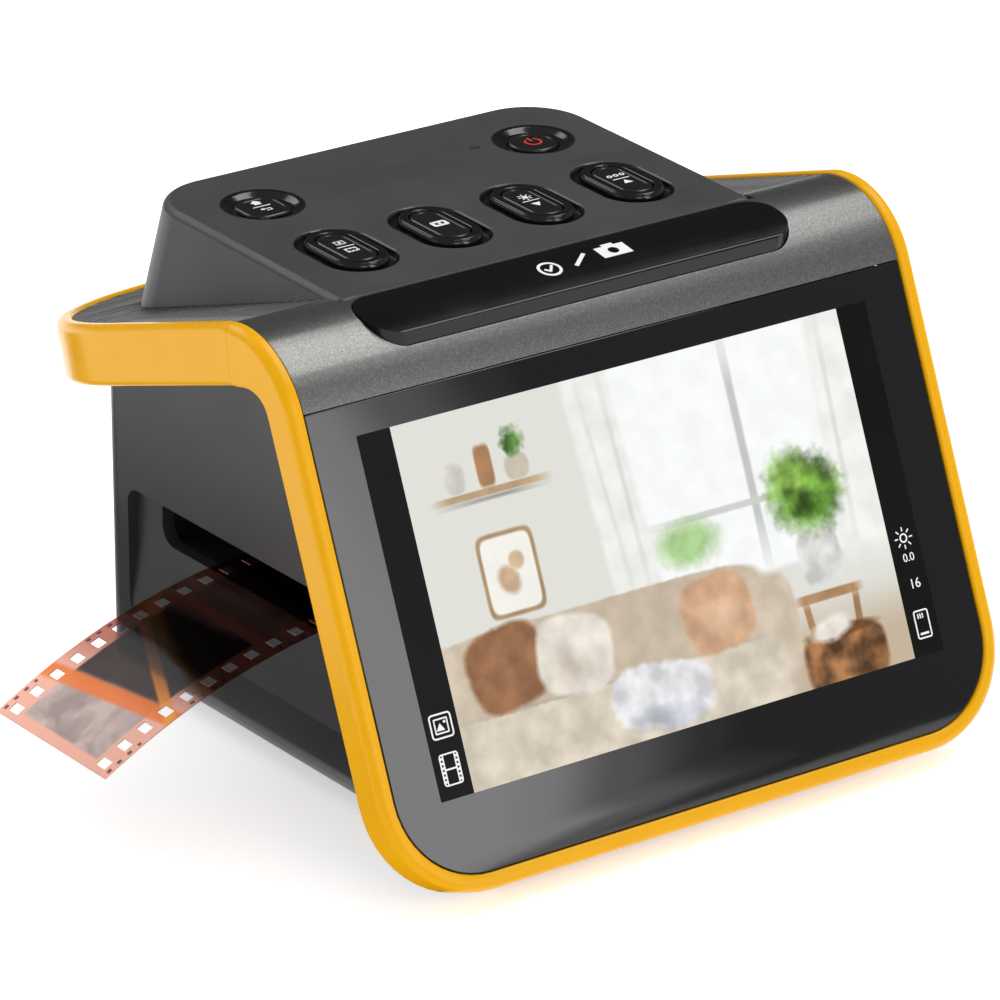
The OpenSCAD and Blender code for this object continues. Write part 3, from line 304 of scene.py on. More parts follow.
# %% Plastics and metals
FINISHES = (
    # name, colour, roughness, grain: scale, depth in metres, strength, lowest and highest
    # roughness and tint, then what else the shader is given
    ("yellow_gloss", (0.71, 0.345, 0.001), 0.22, (900, 2e-5, 0.2, 0.2, 0.28, 0.03),
     {"Specular_IOR_Level": 0.17}),
    ("glass_black", (0.004, 0.004, 0.005), 0.04, (400, 5e-6, 0.1, 0.03, 0.06), {"IOR": 1.52}),
    ("console_black", (0.043, 0.043, 0.044), 0.45, (2600, 3e-5, 0.45, 0.42, 0.52, 0.06),
     {"IOR": 1.46}),
    ("body_black", (0.022, 0.02, 0.021), 0.42, (2600, 3e-5, 0.45, 0.36, 0.46, 0.08),
     {"IOR": 1.62}),
    ("rib_black", (0.06, 0.06, 0.06), 0.32, (2600, 2e-5, 0.35, 0.28, 0.38), {"IOR": 1.46}),
    ("bar_gloss", (0.004, 0.004, 0.004), 0.16, (1200, 1e-5, 0.2, 0.14, 0.22),
     {"Specular_IOR_Level": 0.3}),
    ("ring_gloss", (0.005, 0.005, 0.005), 0.1, (1200, 1e-5, 0.04, 0.1, 0.16), {}),
    ("key_satin", (0.007, 0.007, 0.007), 0.24, (2000, 1e-5, 0.08, 0.2, 0.28), {}),
    ("tray_satin", (0.012, 0.012, 0.013), 0.38, (1800, 2e-5, 0.3, 0.32, 0.44, 0.08),
     {"IOR": 1.48}),
    ("inner_grey", (0.03, 0.03, 0.032), 0.5, (2200, 3e-5, 0.4, 0.45, 0.6, 0.08), {"IOR": 1.46}),
    ("white_plastic", (0.75, 0.75, 0.73), 0.5, (2200, 2e-5, 0.3, 0.45, 0.6, 0.04), {}),
    ("rubber_black", (0.015, 0.015, 0.015), 0.8, (1500, 5e-5, 0.5, 0.7, 0.9, 0.1), {}),
    ("board_green", (0.01, 0.11, 0.04), 0.3, (700, 3e-5, 0.3, 0.25, 0.4, 0.15),
     {"Coat_Weight": 0.3}),
    ("steel", (0.55, 0.55, 0.56), 0.3, (1500, 1e-5, 0.3, 0.25, 0.4, 0.05), {"Metallic": 1.0}),
    ("brass", (0.78, 0.52, 0.18), 0.3, (1500, 1e-5, 0.3, 0.25, 0.4, 0.05), {"Metallic": 1.0}),
    ("amber_film", (0.5, 0.2, 0.03), 0.3, (900, 2e-5, 0.2, 0.25, 0.35, 0.1),
     {"Coat_Weight": 0.4}),
    ("card_blue", (0.02, 0.04, 0.14), 0.4, (1500, 2e-5, 0.3, 0.35, 0.45, 0.06), {}),
    ("lens_clear", (0.8, 0.86, 0.92), 0.03, (300, 2e-6, 0.05, 0.02, 0.04),
     {"IOR": 1.52, "Transmission_Weight": 0.9}),
    ("window_black", (0.003, 0.0025, 0.003), 0.3, (800, 4e-6, 0.1, 0.3, 0.4),
     {"Specular_IOR_Level": 0.1}),
    ("ink_white", (0.72, 0.72, 0.72), 0.5, (2500, 1e-5, 0.2, 0.45, 0.55, 0.04),
     {"Specular_IOR_Level": 0.3}),
    ("ink_red", (0.55, 0.02, 0.015), 0.45, (2500, 1e-5, 0.2, 0.4, 0.5, 0.04),
     {"Specular_IOR_Level": 0.3}),
    ("screen_white", (0.0, 0.0, 0.0), 0.5, (900, 1e-6, 0.02, 0.48, 0.52),
     {"Emission_Color": (0.9, 0.9, 0.9, 1), "Emission_Strength": 1.0}),
)
finish = {name: add_grain(new_finish(name, color, roughness, **others), *grain)
          for name, color, roughness, grain, others in FINISHES}

# %% [markdown]
# The places round the keys are polished in the mould, while the rest of the console is
# grained. A number on each point of the mesh says which, and the finish reads it.

# %% Polished places
def blend_colors(tree, mask, under, over, **settings):
    """Lays one colour over another where a mask says. A colour is a value or an output."""
    mix = add_node(tree, "Mix", data_type="RGBA", **settings)
    sockets = {s.identifier: s for s in mix.inputs}
    for name, value in (("Factor_Float", mask), ("A_Color", under), ("B_Color", over)):
        fill(tree, sockets[name], (*value, 1) if isinstance(value, tuple) else value)
    return {s.identifier: s for s in mix.outputs}["Result_Color"]


def polish(paint, attribute, color, roughness):
    """Lays a glossy colour over a finish where an attribute of the mesh is one."""
    tree = paint.node_tree
    where = add_node(tree, "Attribute", attribute_name=attribute).outputs["Fac"]
    inputs = tree.nodes["Principled BSDF"].inputs
    base, rough = [inputs[label].links[0].from_socket for label in ("Base Color", "Roughness")]
    mix = add_node(tree, "Mix", Factor=where, A=rough, B=roughness)
    feed(paint, Base_Color=blend_colors(tree, where, base, color),
         Roughness=mix.outputs["Result"])


polish(finish["console_black"], "polished", (0.006, 0.006, 0.006), 0.14)

# %% [markdown]
# The arm's plate has low round ribs. Painted shade darkens the grooves and a painted
# highlight lightens the rib tops, so the height over the grooves sets the tone of the plastic.

# %% Ribs
ARM_LEAN = -17.7
ARM_MIDDLE = Vector((0, -15.441, 94.731)) * MM
ARM_UP = Matrix.Rotation(math.radians(ARM_LEAN), 3, "X") @ Vector((0, 0, 1))
GROOVES, RIB_TOPS = [ARM_MIDDLE.dot(ARM_UP) - drop * MM for drop in (0.74, 0.52)]
tree = finish["rib_black"].node_tree
# painted shade in the grooves and painted highlight on the rib tops
rib_painted_light = map_range(tree, reach_along(tree, object_place(tree), ARM_UP), GROOVES, RIB_TOPS)
feed(finish["rib_black"], Base_Color=color_ramp(tree, rib_painted_light, (0, (0.006, 0.006, 0.006)),
                                                (1, (0.16, 0.16, 0.16))))

# %% [markdown]
# The shoulder is painted with a metal flake. Small cells of a Voronoi texture each get
# their own tilt, so that a few of them flash where the light is right.

# %% Metal flake
finish["flake_grey"] = new_finish("flake_grey", (0.16, 0.16, 0.155), 0.34, Metallic=0.8)
tree = finish["flake_grey"].node_tree
cells = add_node(tree, "TexVoronoi", object_place(tree), Scale=6500.0)
pick = add_node(tree, "SeparateColor", cells.outputs["Color"]).outputs
tilt = add_node(tree, "Bump", Strength=0.15, Distance=1e-5, Height=pick[1])
feed(finish["flake_grey"], Normal=tilt.outputs["Normal"],
     Base_Color=color_ramp(tree, pick[0], (0.55, (0.13, 0.13, 0.126)), (1, (0.22, 0.22, 0.21))))
print("finishes:", len(bpy.data.materials))

# %% [markdown]
# ## From solid to skin
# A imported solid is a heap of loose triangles, with knife-sharp edges. For each piece that
# shows, a copy is welded, its flat areas are cleared of needless edges, and a bevel breaks
# the sharp ones. A real moulding has such an edge radius, and it is what catches light.

# %% Place and finish helpers
def object_mode():
    if bpy.context.object and bpy.context.object.mode != "OBJECT":
        bpy.ops.object.mode_set(mode="OBJECT")


def clear_selection():
    object_mode()
    bpy.ops.object.select_all(action="DESELECT")


def pick_only(piece):
    clear_selection()
    piece.select_set(True)
    bpy.context.view_layer.objects.active = piece


def modify(piece, kind, **settings):
    """Adds a modifier, gives it its settings and applies it."""
    pick_only(piece)
    modifier = piece.modifiers.new(kind.lower(), kind)
    for key, value in settings.items():
        setattr(modifier, key, value)
    bpy.ops.object.modifier_apply(modifier=modifier.name)


def smooth(piece, angle=35):
    pick_only(piece)
    bpy.ops.object.shade_smooth_by_angle(angle=math.radians(angle))


def even_shading(piece, angle=35):
    """Smooth shading that leaves the large flat faces flat."""
    smooth(piece, angle)
    modify(piece, "WEIGHTED_NORMAL", keep_sharp=True, weight=80)


slot_of = {row["node"]: row["material_slot"] for row in frame["record"]["subparts"]}
body_of = {node: body for body, nodes in frame["record"]["behaviour"]["bodies"].items()
           for node in nodes}


def settle(piece, place, node, paint, stands_for=()):
    """Moves a piece modelled in millimetres to its place, and gives it a finish, and the
    body of a node."""
    clear_selection()
    piece.data.transform(place @ Matrix.Scale(MM, 4) @ piece.matrix_basis)
    piece.matrix_basis = Matrix.Identity(4)
    piece.data.materials.clear()
    piece.data.materials.append(paint)
    body, slot = body_of[node], slot_of[node]
    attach(piece, body)
    if stands_for:
        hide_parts(*stands_for)
    return piece


def skin(node, paint, radius=0.0, angle=35, name=None, flat=0.4, even=True):
    """A welded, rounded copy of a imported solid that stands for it."""
    mesh = frame["nodes"][node].data.copy()
    piece = bpy.data.objects.new(name or node + "_skin", mesh)
    scene.collection.objects.link(piece)
    mesh.transform(Matrix.Scale(1 / MM, 4))
    pick_only(piece)
    bpy.ops.object.mode_set(mode="EDIT")
    bpy.ops.mesh.select_all(action="SELECT")
    bpy.ops.mesh.remove_doubles(threshold=0.003)
    if flat:
        bpy.ops.mesh.dissolve_limited(angle_limit=math.radians(flat))
    object_mode()
    if radius:
        modify(piece, "BEVEL", width=radius, segments=3, limit_method="ANGLE",
               angle_limit=math.radians(30))
    (even_shading if even else smooth)(piece, angle)
    return settle(piece, Matrix.Identity(4), node, paint, [node])

# %% [markdown]
# Even shading changes what the glass mirrors and leaves a dark wedge on the ribs, so those
# two go without it. The shutter bar bulges so little that its edges would be cleared as
# flat, and its bulge would show stripes, so it gets a smaller angle.

# %% Skins of the outer solids
SKINS = (
    # node, finish, edge radius in millimetres, angle that smooth shading reaches over
    ("front_trim", "yellow_gloss", 0, 60),
    ("arm_trim", "yellow_gloss", 0, 60),
    ("front_glass", "glass_black", 0.25, 35),
    ("shoulder_cover", "flake_grey", 0.15, 35),
    ("ribbed_plate", "rib_black", 0, 50),
    ("key_rings", "ring_gloss", 0.3, 35),
    ("shutter_bar", "bar_gloss", 0.5, 35),
    ("body_shell", "body_black", 0.4, 35),
    ("display_housing", "inner_grey", 0.3, 35),
    ("arm_housing", "inner_grey", 0.3, 35),
    ("tray_base", "tray_satin", 0.25, 35),
    ("tray_lid", "tray_satin", 0.25, 35),
)
UNEVEN = ("front_glass", "ribbed_plate")
FLATNESS = {"shutter_bar": 0.03}
for node, paint, radius, angle in SKINS:
    piece = skin(node, finish[paint], radius, angle, flat=FLATNESS.get(node, 0.4),
                 even=node not in UNEVEN)
    print(piece.name, len(piece.data.vertices), "points")

# %% [markdown]
# ## Three leaning frames
# The screen, the console and the shutter bar each lean their own way. A piece for one of
# them is modelled flat, in millimetres, with Z pointing out of the surface. One matrix then
# carries the finished piece to its place, so no piece has to be modelled at a slant.

# %% Frames of the face and the console
def leaning(back, up, lean):
    """A place in the middle plane, in millimetres, turned about X by degrees."""
    return (Matrix.Translation(Vector((0, back, up)) * MM)
            @ Matrix.Rotation(math.radians(lean), 4, "X"))


CONSOLE_LEAN = 1.4
FACE = leaning(-70.569, 4.741, 67.5)
CONSOLE = leaning(-21.341, 95.078, CONSOLE_LEAN)
GLASS_TOP = -0.5
print("glass leans back", round(90 - math.degrees(FACE.to_euler().x), 1), "degrees")

# %% [markdown]
# ## Choosing by place
# In edit mode one clicks on faces. A script can't click, so it chooses the faces, edges
# or points whose place passes a test, and then runs the same tools that a click would.

# %% Choosing faces, edges and points
NEAR = 0.001


def choose(piece, kind, test):
    """Opens a piece in edit mode with only what passes the test selected."""
    pick_only(piece)
    scene.tool_settings.mesh_select_mode = [kind == one for one in ("VERT", "EDGE", "FACE")]
    points = piece.data.vertices
    for point in points:
        point.select = kind == "VERT" and test(point.co)
    for edge in piece.data.edges:
        edge.select = kind == "EDGE" and test(*[points[i].co for i in edge.vertices])
    for face in piece.data.polygons:
        face.select = kind == "FACE" and test(face.center, face.normal)
    bpy.ops.object.mode_set(mode="EDIT")


def bevel_chosen(width, segments, affect="EDGES"):
    bpy.ops.mesh.bevel(offset=width, segments=segments, affect=affect, clamp_overlap=False)
    object_mode()


def bevel_rim(piece, test, width, segments):
    """Rounds the edges sharper than 20 degrees whose two ends pass a test."""
    shape = bmesh.new()
    shape.from_mesh(piece.data)
    rim = {frozenset(v.co.to_tuple(5) for v in e.verts) for e in shape.edges
           if len(e.link_faces) == 2 and e.calc_face_angle() > math.radians(20)
           and all(test(v.co) for v in e.verts)}
    shape.free()
    choose(piece, "EDGE", lambda a, b: frozenset((a.to_tuple(5), b.to_tuple(5))) in rim)
    bevel_chosen(width, segments)
    return len(rim)

# %% [markdown]
# ## Blocks to start from
# Two plans cover nearly everything on the console. A capsule is a cylinder whose two
# halves are drawn apart. A rounded block is a cube whose upright edges are bevelled.

# %% Capsule and rounded block
def fixed(name):
    """Names the newest object, and takes its place, turn and size into its mesh."""
    piece = bpy.context.object
    piece.name = name
    bpy.ops.object.transform_apply(location=True, rotation=True, scale=True)
    return piece


def disc_block(name, diameter, low, high, steps=64, turn=0.0):
    clear_selection()
    bpy.ops.mesh.primitive_cylinder_add(vertices=steps, radius=diameter / 2, depth=high - low,
                                        location=(0, 0, (low + high) / 2), rotation=(0, 0, turn))
    return fixed(name)


def draw_apart(piece, reach):
    """Moves the two halves of a piece away from each other."""
    for side in (-1, 1):
        choose(piece, "VERT", lambda p: p.y * side > 0)
        bpy.ops.transform.translate(value=(0, side * reach, 0))
    object_mode()
    return piece


def capsule_block(name, width, length, low, high, steps=48):
    return draw_apart(disc_block(name, width, low, high, steps, math.pi / steps),
                      (length - width) / 2)


def cube_block(name, y, z, size):
    clear_selection()
    bpy.ops.mesh.primitive_cube_add(size=1, location=(0, y, z), scale=size)
    return fixed(name)


def round_block(name, width, depth, low, high, corner, steps=8):
    piece = cube_block(name, 0, (low + high) / 2, (width, depth, high - low))
    choose(piece, "EDGE", lambda a, b: abs(a.z - b.z) > 0.5 * (high - low))
    bevel_chosen(corner, steps)
    return piece


def move(piece, x=0, y=0, z=0):
    piece.data.transform(Matrix.Translation((x, y, z)))
    return piece


def joined(pieces, name):
    """Several pieces made one, which keeps the first one's place."""
    clear_selection()
    for piece in pieces:
        piece.select_set(True)
    bpy.context.view_layer.objects.active = pieces[0]
    if len(pieces) > 1:
        bpy.ops.object.join()
    pieces[0].name = name
    return pieces[0]


def carve(piece, cutter):
    """Takes a cutter out of a piece, and throws the cutter away."""
    modify(piece, "BOOLEAN", operation="DIFFERENCE", solver="EXACT", object=cutter)
    bpy.data.objects.remove(cutter)

# %% [markdown]
# ## The console
# The console is one moulding: a low block with drafted sides, two large corners at the
# back and a soft top edge. Its keys sit in shallow places with rounded rims. A bevel
# can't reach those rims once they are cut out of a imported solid, whose edges are too
# short, so the moulding is made afresh from a cube.

# %% Console sizes
CONSOLE_W, CONSOLE_FRONT, CONSOLE_BACK, CONSOLE_DEEP = 89.6, 1.3, 64.4, 26.0
CONSOLE_CORNER, CONSOLE_WALL = 12.0, 2.0
SIDE_DRAFT, REAR_DRAFT = math.tan(math.radians(11)), math.tan(math.radians(5))
KEY_X, KEY_Y, KEY_W, KEY_L, KEY_GAP = (-30, -10, 10, 30), 20.7, 6.5, 14.0, 0.2
RING_W, MOAT_W, MOAT_DEEP = 1.6, 1.8, 1.1
ROUND_X, ROUND_Y, ROUND_D, DISH_D, DISH_FLOOR = 29.7, 47.2, 9.2, 14.8, 11.0
HOME_CORNER = 3.2
LAMP_X, LAMP_Y, LAMP_D = 18.3, 49.6, 1.6
RING_LENGTH = KEY_L + 2 * KEY_GAP + 2 * RING_W
RING_WIDTH = KEY_W + 2 * KEY_GAP + 2 * RING_W
SKIRT = 4.5
ARM_START = Vector((0, 5.9, -0.49))


# %% Console block
def drafted_block(name, wall):
    """The console's outside, or with a wall its inside, with drafted sides."""
    deep = CONSOLE_DEEP - wall + (3 if wall else 0)
    front, back = CONSOLE_FRONT + wall, CONSOLE_BACK - wall
    middle = (front + back) / 2
    piece = cube_block(name, middle, -wall - deep / 2, (CONSOLE_W - 2 * wall, back - front, deep))
    for rear, corner, steps in ((True, CONSOLE_CORNER - wall, 16), (False, 2.0, 4)):
        choose(piece, "EDGE", lambda a, b: abs(a.z - b.z) > deep / 2 and (a.y > middle) == rear)
        bevel_chosen(corner, steps)
    for point in piece.data.vertices:
        if point.co.z < -deep / 2:
            point.co.x += math.copysign(deep * SIDE_DRAFT, point.co.x)
            point.co.y += deep * REAR_DRAFT if point.co.y > middle else 0
    return piece


console = drafted_block("console_moulding", 0)
edge_share = console.data.attributes.new("bevel_weight_edge", "FLOAT", "EDGE")
for edge in console.data.edges:
    ends = [console.data.vertices[i].co for i in edge.vertices]
    if all(p.z > -0.01 for p in ends):
        at_front = all(p.y < CONSOLE_FRONT + 0.01 for p in ends)
        edge_share.data[edge.index].value = 0.3 if at_front else 1.0
modify(console, "BEVEL", width=1.3, segments=5, limit_method="WEIGHT", use_clamp_overlap=False)
carve(console, drafted_block("inside", CONSOLE_WALL))
print("console block:", len(console.data.polygons), "faces")

# %% Places for the keys
HOLE_LOW, HOLE_HIGH = -9, 3
DISH_OVER = 0.5
RIM_GAP = 0.2


def copy_of(piece, name):
    twin = bpy.data.objects.new(name, piece.data.copy())
    scene.collection.objects.link(twin)
    return twin


def one_at_each_oval(piece):
    """The piece at the first oval key, and a copy of it at each of the others."""
    pieces = [piece] + [copy_of(piece, piece.name) for x in KEY_X[1:]]
    return [move(one, x, KEY_Y) for one, x in zip(pieces, KEY_X)]


def ring_cutters(more, low):
    """Capsules a little larger than the rings."""
    return one_at_each_oval(capsule_block("cutter", RING_WIDTH + more, RING_LENGTH + more,
                                          low, HOLE_HIGH))


moats = ring_cutters(2 * MOAT_W, -MOAT_DEEP)
flare = (DISH_D - DISH_FLOOR) / 2 / MOAT_DEEP
for side in (-1, 1):
    clear_selection()
    bpy.ops.mesh.primitive_cone_add(
        vertices=72, radius1=DISH_FLOOR / 2, radius2=DISH_D / 2 + flare * DISH_OVER,
        depth=MOAT_DEEP + DISH_OVER,
        location=(side * ROUND_X, ROUND_Y, (DISH_OVER - MOAT_DEEP) / 2))
    moats.append(fixed("dish"))
carve(console, joined(moats, "moats"))

round_hole = ROUND_D + 2 * KEY_GAP
holes = ring_cutters(RIM_GAP, HOLE_LOW)
for cutter, x, y in (
        (disc_block("hole", round_hole, HOLE_LOW, HOLE_HIGH), ROUND_X, ROUND_Y),
        (round_block("hole", round_hole, round_hole, HOLE_LOW, HOLE_HIGH,
                     HOME_CORNER + KEY_GAP), -ROUND_X, ROUND_Y),
        (disc_block("hole", LAMP_D + 0.3, HOLE_LOW, HOLE_HIGH, 24), LAMP_X, LAMP_Y)):
    holes.append(move(cutter, x, y))
carve(console, joined(holes, "holes"))
print("with its places:", len(console.data.polygons), "faces")


# %% Soft rims
def near_key(p, reach=11.5):
    return any(abs(p.x - x) < reach * 0.75 and abs(p.y - KEY_Y) < reach for x in KEY_X)


def near_dish(p, reach=8.5):
    return any((Vector((p.x, p.y)) - Vector((side * ROUND_X, ROUND_Y))).length < reach
               for side in (-1, 1))


rims = bevel_rim(console, lambda p: abs(p.z) < NEAR and near_key(p), 0.7, 4)
rims += bevel_rim(console, lambda p: abs(p.z) < NEAR and near_dish(p), 0.8, 4)
rims += bevel_rim(console, lambda p: abs(p.z + MOAT_DEEP) < NEAR and near_dish(p)
                  and not near_dish(p, ROUND_D / 2 + 0.5), 0.5, 3)
print("rims:", rims, "edges")

# %% Foot of the console
POLISHED_LOW, POLISHED_HIGH = -2.5, -0.08
choose(console, "FACE", lambda c, n: True)
away = Matrix.Rotation(math.radians(ARM_LEAN - CONSOLE_LEAN), 3, "X") @ Vector((0, 0, 1))
bpy.ops.mesh.bisect(plane_co=ARM_START - away * SKIRT, plane_no=away, clear_inner=True)
object_mode()
polished = console.data.attributes.new("polished", "FLOAT", "POINT")
for index, point in enumerate(console.data.vertices):
    sunk = POLISHED_LOW < point.co.z < POLISHED_HIGH
    polished.data[index].value = float(sunk and (near_key(point.co) or near_dish(point.co)))
even_shading(console)
settle(console, CONSOLE, "console_cover", finish["console_black"], ["console_cover"])
print("console:", len(console.data.polygons), "faces")

# %% [markdown]
# ## The rings
# Each oval key has a fat glossy ring round it. A torus is drawn apart as the capsule was,
# cut at half its height, and its two lower edges are pulled down to make the wall that
# stands in the hole.

# %% Rings round the oval keys
RING_TOP, RING_MIDDLE, RING_LOW = 0.7, -0.45, -2.0
RING_SHOWN = RING_W + 0.35
RING_STEPS = 64


def ring_block():
    clear_selection()
    bpy.ops.mesh.primitive_torus_add(major_segments=RING_STEPS, minor_segments=20,
                                     major_radius=KEY_W / 2 + KEY_GAP + RING_SHOWN / 2,
                                     minor_radius=RING_SHOWN / 2,
                                     rotation=(0, 0, math.pi / RING_STEPS))
    piece = fixed("ring")
    piece.data.transform(Matrix.Diagonal((1, 1, (RING_TOP - RING_MIDDLE) / (RING_SHOWN / 2), 1)))
    draw_apart(piece, (KEY_L - KEY_W) / 2)
    choose(piece, "FACE", lambda c, n: True)
    bpy.ops.mesh.bisect(plane_co=(0, 0, 0), plane_no=(0, 0, 1), clear_inner=True)
    choose(piece, "EDGE", lambda a, b: abs(a.z) < NEAR and abs(b.z) < NEAR)
    bpy.ops.mesh.extrude_edges_move(
        TRANSFORM_OT_translate={"value": (0, 0, RING_LOW - RING_MIDDLE)})
    bpy.ops.mesh.bridge_edge_loops()
    bpy.ops.mesh.select_all(action="SELECT")
    bpy.ops.mesh.normals_make_consistent(inside=False)
    object_mode()
    return move(piece, z=RING_MIDDLE)


rings = joined(one_at_each_oval(ring_block()), "oval_key_rings")
smooth(rings, 50)
settle(rings, CONSOLE, "key_rings", finish["ring_gloss"], ["key_rings"])
print("rings:", len(rings.data.polygons), "faces")

# %% [markdown]
# ## The key caps
# A cap has a soft edge, and inside it a thin groove marks off the pad that the finger
# meets. Under it a stem reaches down to its switch.

# %% Key caps
CAP_LOW, CAP_EDGE, STEM_LOW, STEM_D = -1.8, 0.5, -2.5, 3.4
OVAL_TOP, ROUND_TOP = 0.6, -0.45
OVAL_PAD, ROUND_PAD = 0.35, 0.5
KEYS = ("mode_key", "gallery_key", "bright_key", "colour_key", "power_key", "home_key")


def key_cap(block, top, pad_in):
    """Softens a block's top edge, grooves its pad and gives it a stem."""
    bevel_rim(block, lambda p: abs(p.z - top) < NEAR, CAP_EDGE, 4)
    choose(block, "FACE", lambda c, n: n.z > 0.9 and abs(c.z - top) < NEAR)
    for width, rise in ((pad_in, 0), (0.12, -0.12), (0.12, 0.04)):
        bpy.ops.mesh.inset(thickness=width, depth=rise)
    object_mode()
    cap = joined([block, disc_block("stem", STEM_D, STEM_LOW, CAP_LOW + 0.1, 32)], block.name)
    even_shading(cap)
    return cap


oval = capsule_block("oval", KEY_W, KEY_L, CAP_LOW, OVAL_TOP, 64)
caps = one_at_each_oval(key_cap(oval, OVAL_TOP, OVAL_PAD))
power = disc_block("power", ROUND_D, CAP_LOW, ROUND_TOP)
caps.append(move(key_cap(power, ROUND_TOP, ROUND_PAD), ROUND_X, ROUND_Y))
home = round_block("home", ROUND_D, ROUND_D, CAP_LOW, ROUND_TOP, HOME_CORNER)
caps.append(move(key_cap(home, ROUND_TOP, ROUND_PAD), -ROUND_X, ROUND_Y))
for node, cap in zip(KEYS, caps):
    cap.name = node + "_cap"
    settle(cap, CONSOLE, node, finish["key_satin"], [node])
print("caps:", len(caps))

# %% [markdown]
# ## Printed signs
# A printed sign is a few flat marks in one ink. Each mark starts as a square, a triangle
# or a disc, and a ring or a frame is one of these with its middle taken out by an inset.
# The marks of a sign are joined, thickened to a film of ink, and laid on their key. Each
# mark lies a thousandth of a millimetre over the one before, so that no two coincide.

# %% One mark
def mark(kind, x, y, wide, high, extra=()):
    """A flat mark, turned by degrees. With a line width it is hollow, with a corner it
    is rounded, and a gap opens a ring at its top."""
    turn, line, corner, gap = [dict(extra).get(key, 0)
                               for key in ("turn", "line", "corner", "gap")]
    clear_selection()
    size = (wide, high)
    if kind == "box":
        bpy.ops.mesh.primitive_plane_add(size=1)
    elif kind == "tri":
        bpy.ops.mesh.primitive_circle_add(vertices=3, radius=1, fill_type="NGON")
        size = (wide / math.sqrt(3), high / 1.5)
    else:
        bpy.ops.mesh.primitive_circle_add(vertices=32, radius=0.5, fill_type="NGON")
    piece = bpy.context.object
    piece.data.transform(Matrix.Diagonal((*size, 1, 1)))
    if corner:
        choose(piece, "VERT", lambda p: True)
        bevel_chosen(corner, 4, "VERTICES")
    if line:
        choose(piece, "FACE", lambda c, n: True)
        bpy.ops.mesh.inset(thickness=line, depth=0)
        bpy.ops.mesh.delete(type="FACE")
    if gap:
        choose(piece, "FACE", lambda c, n: abs(math.atan2(c.x, c.y)) < math.radians(gap))
        bpy.ops.mesh.delete(type="FACE")
    object_mode()
    piece.data.transform(Matrix.Translation((x, y, 0))
                         @ Matrix.Rotation(math.radians(turn), 4, "Z"))
    return piece


def flat_sign(name, marks):
    """The marks of one sign as one film of ink, with its underside at zero."""
    drawn = [move(mark(*row), z=0.001 * order) for order, row in enumerate(marks)]
    piece = joined(drawn, name)
    modify(piece, "SOLIDIFY", thickness=0.03, offset=1)
    return piece


def rays(y, reach, wide, high):
    """Eight short strokes that point away from a middle."""
    return [("box", reach * math.sin(math.radians(a)), y + reach * math.cos(math.radians(a)),
             wide, high, {"turn": -a}) for a in range(0, 360, 45)]


# %% Signs on the keys
INK_SINK = 0.08
KEY_SPOTS = dict(zip(KEYS, [(x, KEY_Y, OVAL_TOP) for x in KEY_X]
                     + [(ROUND_X, ROUND_Y, ROUND_TOP), (-ROUND_X, ROUND_Y, ROUND_TOP)]))
RULE = ("box", 0, 0.3, 3.6, 0.26)
UP = ("tri", 0, -1.6, 1.9, 1.6)
DOWN = ("tri", 0, -1.5, 1.9, 1.6, {"turn": 180})
SUN = [("disc", 0, 2.2, 1.1, 1.1)] + rays(2.2, 1.05, 0.24, 0.6)
DOTS = [("disc", x, 2.0, 1.1, 1.1, {"line": 0.28}) for x in (-1.35, 0, 1.35)]
HOUSE = [("tri", 0, 2.55, 2.2, 1.0), ("box", 0, 1.75, 1.4, 0.9)]
RETURN = [("box", 0.2, -1.1, 1.5, 0.2), ("box", 0.85, -1.5, 0.2, 0.9),
          ("box", 0.3, -1.9, 1.2, 0.2), ("tri", -0.7, -1.1, 0.9, 0.8, {"turn": 90})]
STRIP = [("box", 0, -1.6, 2.4, 1.7, {"line": 0.22})] + [
    ("box", x, y, 0.3, 0.24) for x in (-0.75, 0, 0.75) for y in (-1.15, -2.05)]
SLIDE = [("box", 0, 2.2, 2.0, 1.6, {"line": 0.2}), ("disc", 0, 2.2, 0.7, 0.7)]
PLAY = [("box", 0, 0.2, 3.2, 2.2, {"line": 0.62, "corner": 0.3}),
        ("tri", 0.05, 0.2, 0.9, 0.8, {"turn": 90})]
POWER = [("disc", 0, 0, 3.4, 3.4, {"line": 0.42, "gap": 32}), ("box", 0, 1.2, 0.42, 1.7)]
for name, marks, node in (("strip_sign", SLIDE + [RULE] + STRIP, "mode_key"),
                          ("play_sign", PLAY, "gallery_key"),
                          ("sun_sign", SUN + [RULE, DOWN], "bright_key"),
                          ("colour_sign", DOTS + [RULE, UP], "colour_key"),
                          ("home_sign", HOUSE + [RULE] + RETURN, "home_key"),
                          ("power_sign", POWER, "power_key")):
    x, y, top = KEY_SPOTS[node]
    settle(move(flat_sign(name, marks), x, y, top - INK_SINK), CONSOLE, node,
           finish["ink_red" if node == "power_key" else "ink_white"])
print("key signs:", len(KEY_SPOTS))

# %% [markdown]
# The long bar bulges a little, so its marks are bent to the same curve. Each point goes
# down by the sag of a circle at its distance from the line that the bar touches.

# %% Signs on the shutter bar
BAR_LINE, BAR_OUT, BAR_TILT, BAR_BULGE = -5.4, -0.533, 9.5, 41.9
TICK = [("disc", 0, 0, 4.6, 4.6, {"line": 0.55}), ("box", -0.62, -0.35, 0.5, 1.3, {"turn": 42}),
        ("box", 0.36, 0.08, 0.5, 2.3, {"turn": -38})]
SLASH = [("box", 6.9, 0.5, 0.75, 4.8, {"turn": -50})]
CAMERA = [("box", 12.33, 0.8, 2.06, 3.6), ("box", 16.47, 0.8, 2.06, 3.6),
          ("box", 14.4, 2.22, 2.1, 0.76), ("box", 14.4, -0.62, 2.1, 0.76),
          ("box", 14.4, 2.9, 2.4, 0.8), ("disc", 14.4, 0.8, 3.0, 3.0, {"line": 0.45})]
bar_sign = move(flat_sign("bar_sign", TICK + SLASH + CAMERA), x=-5.3, z=0.05)
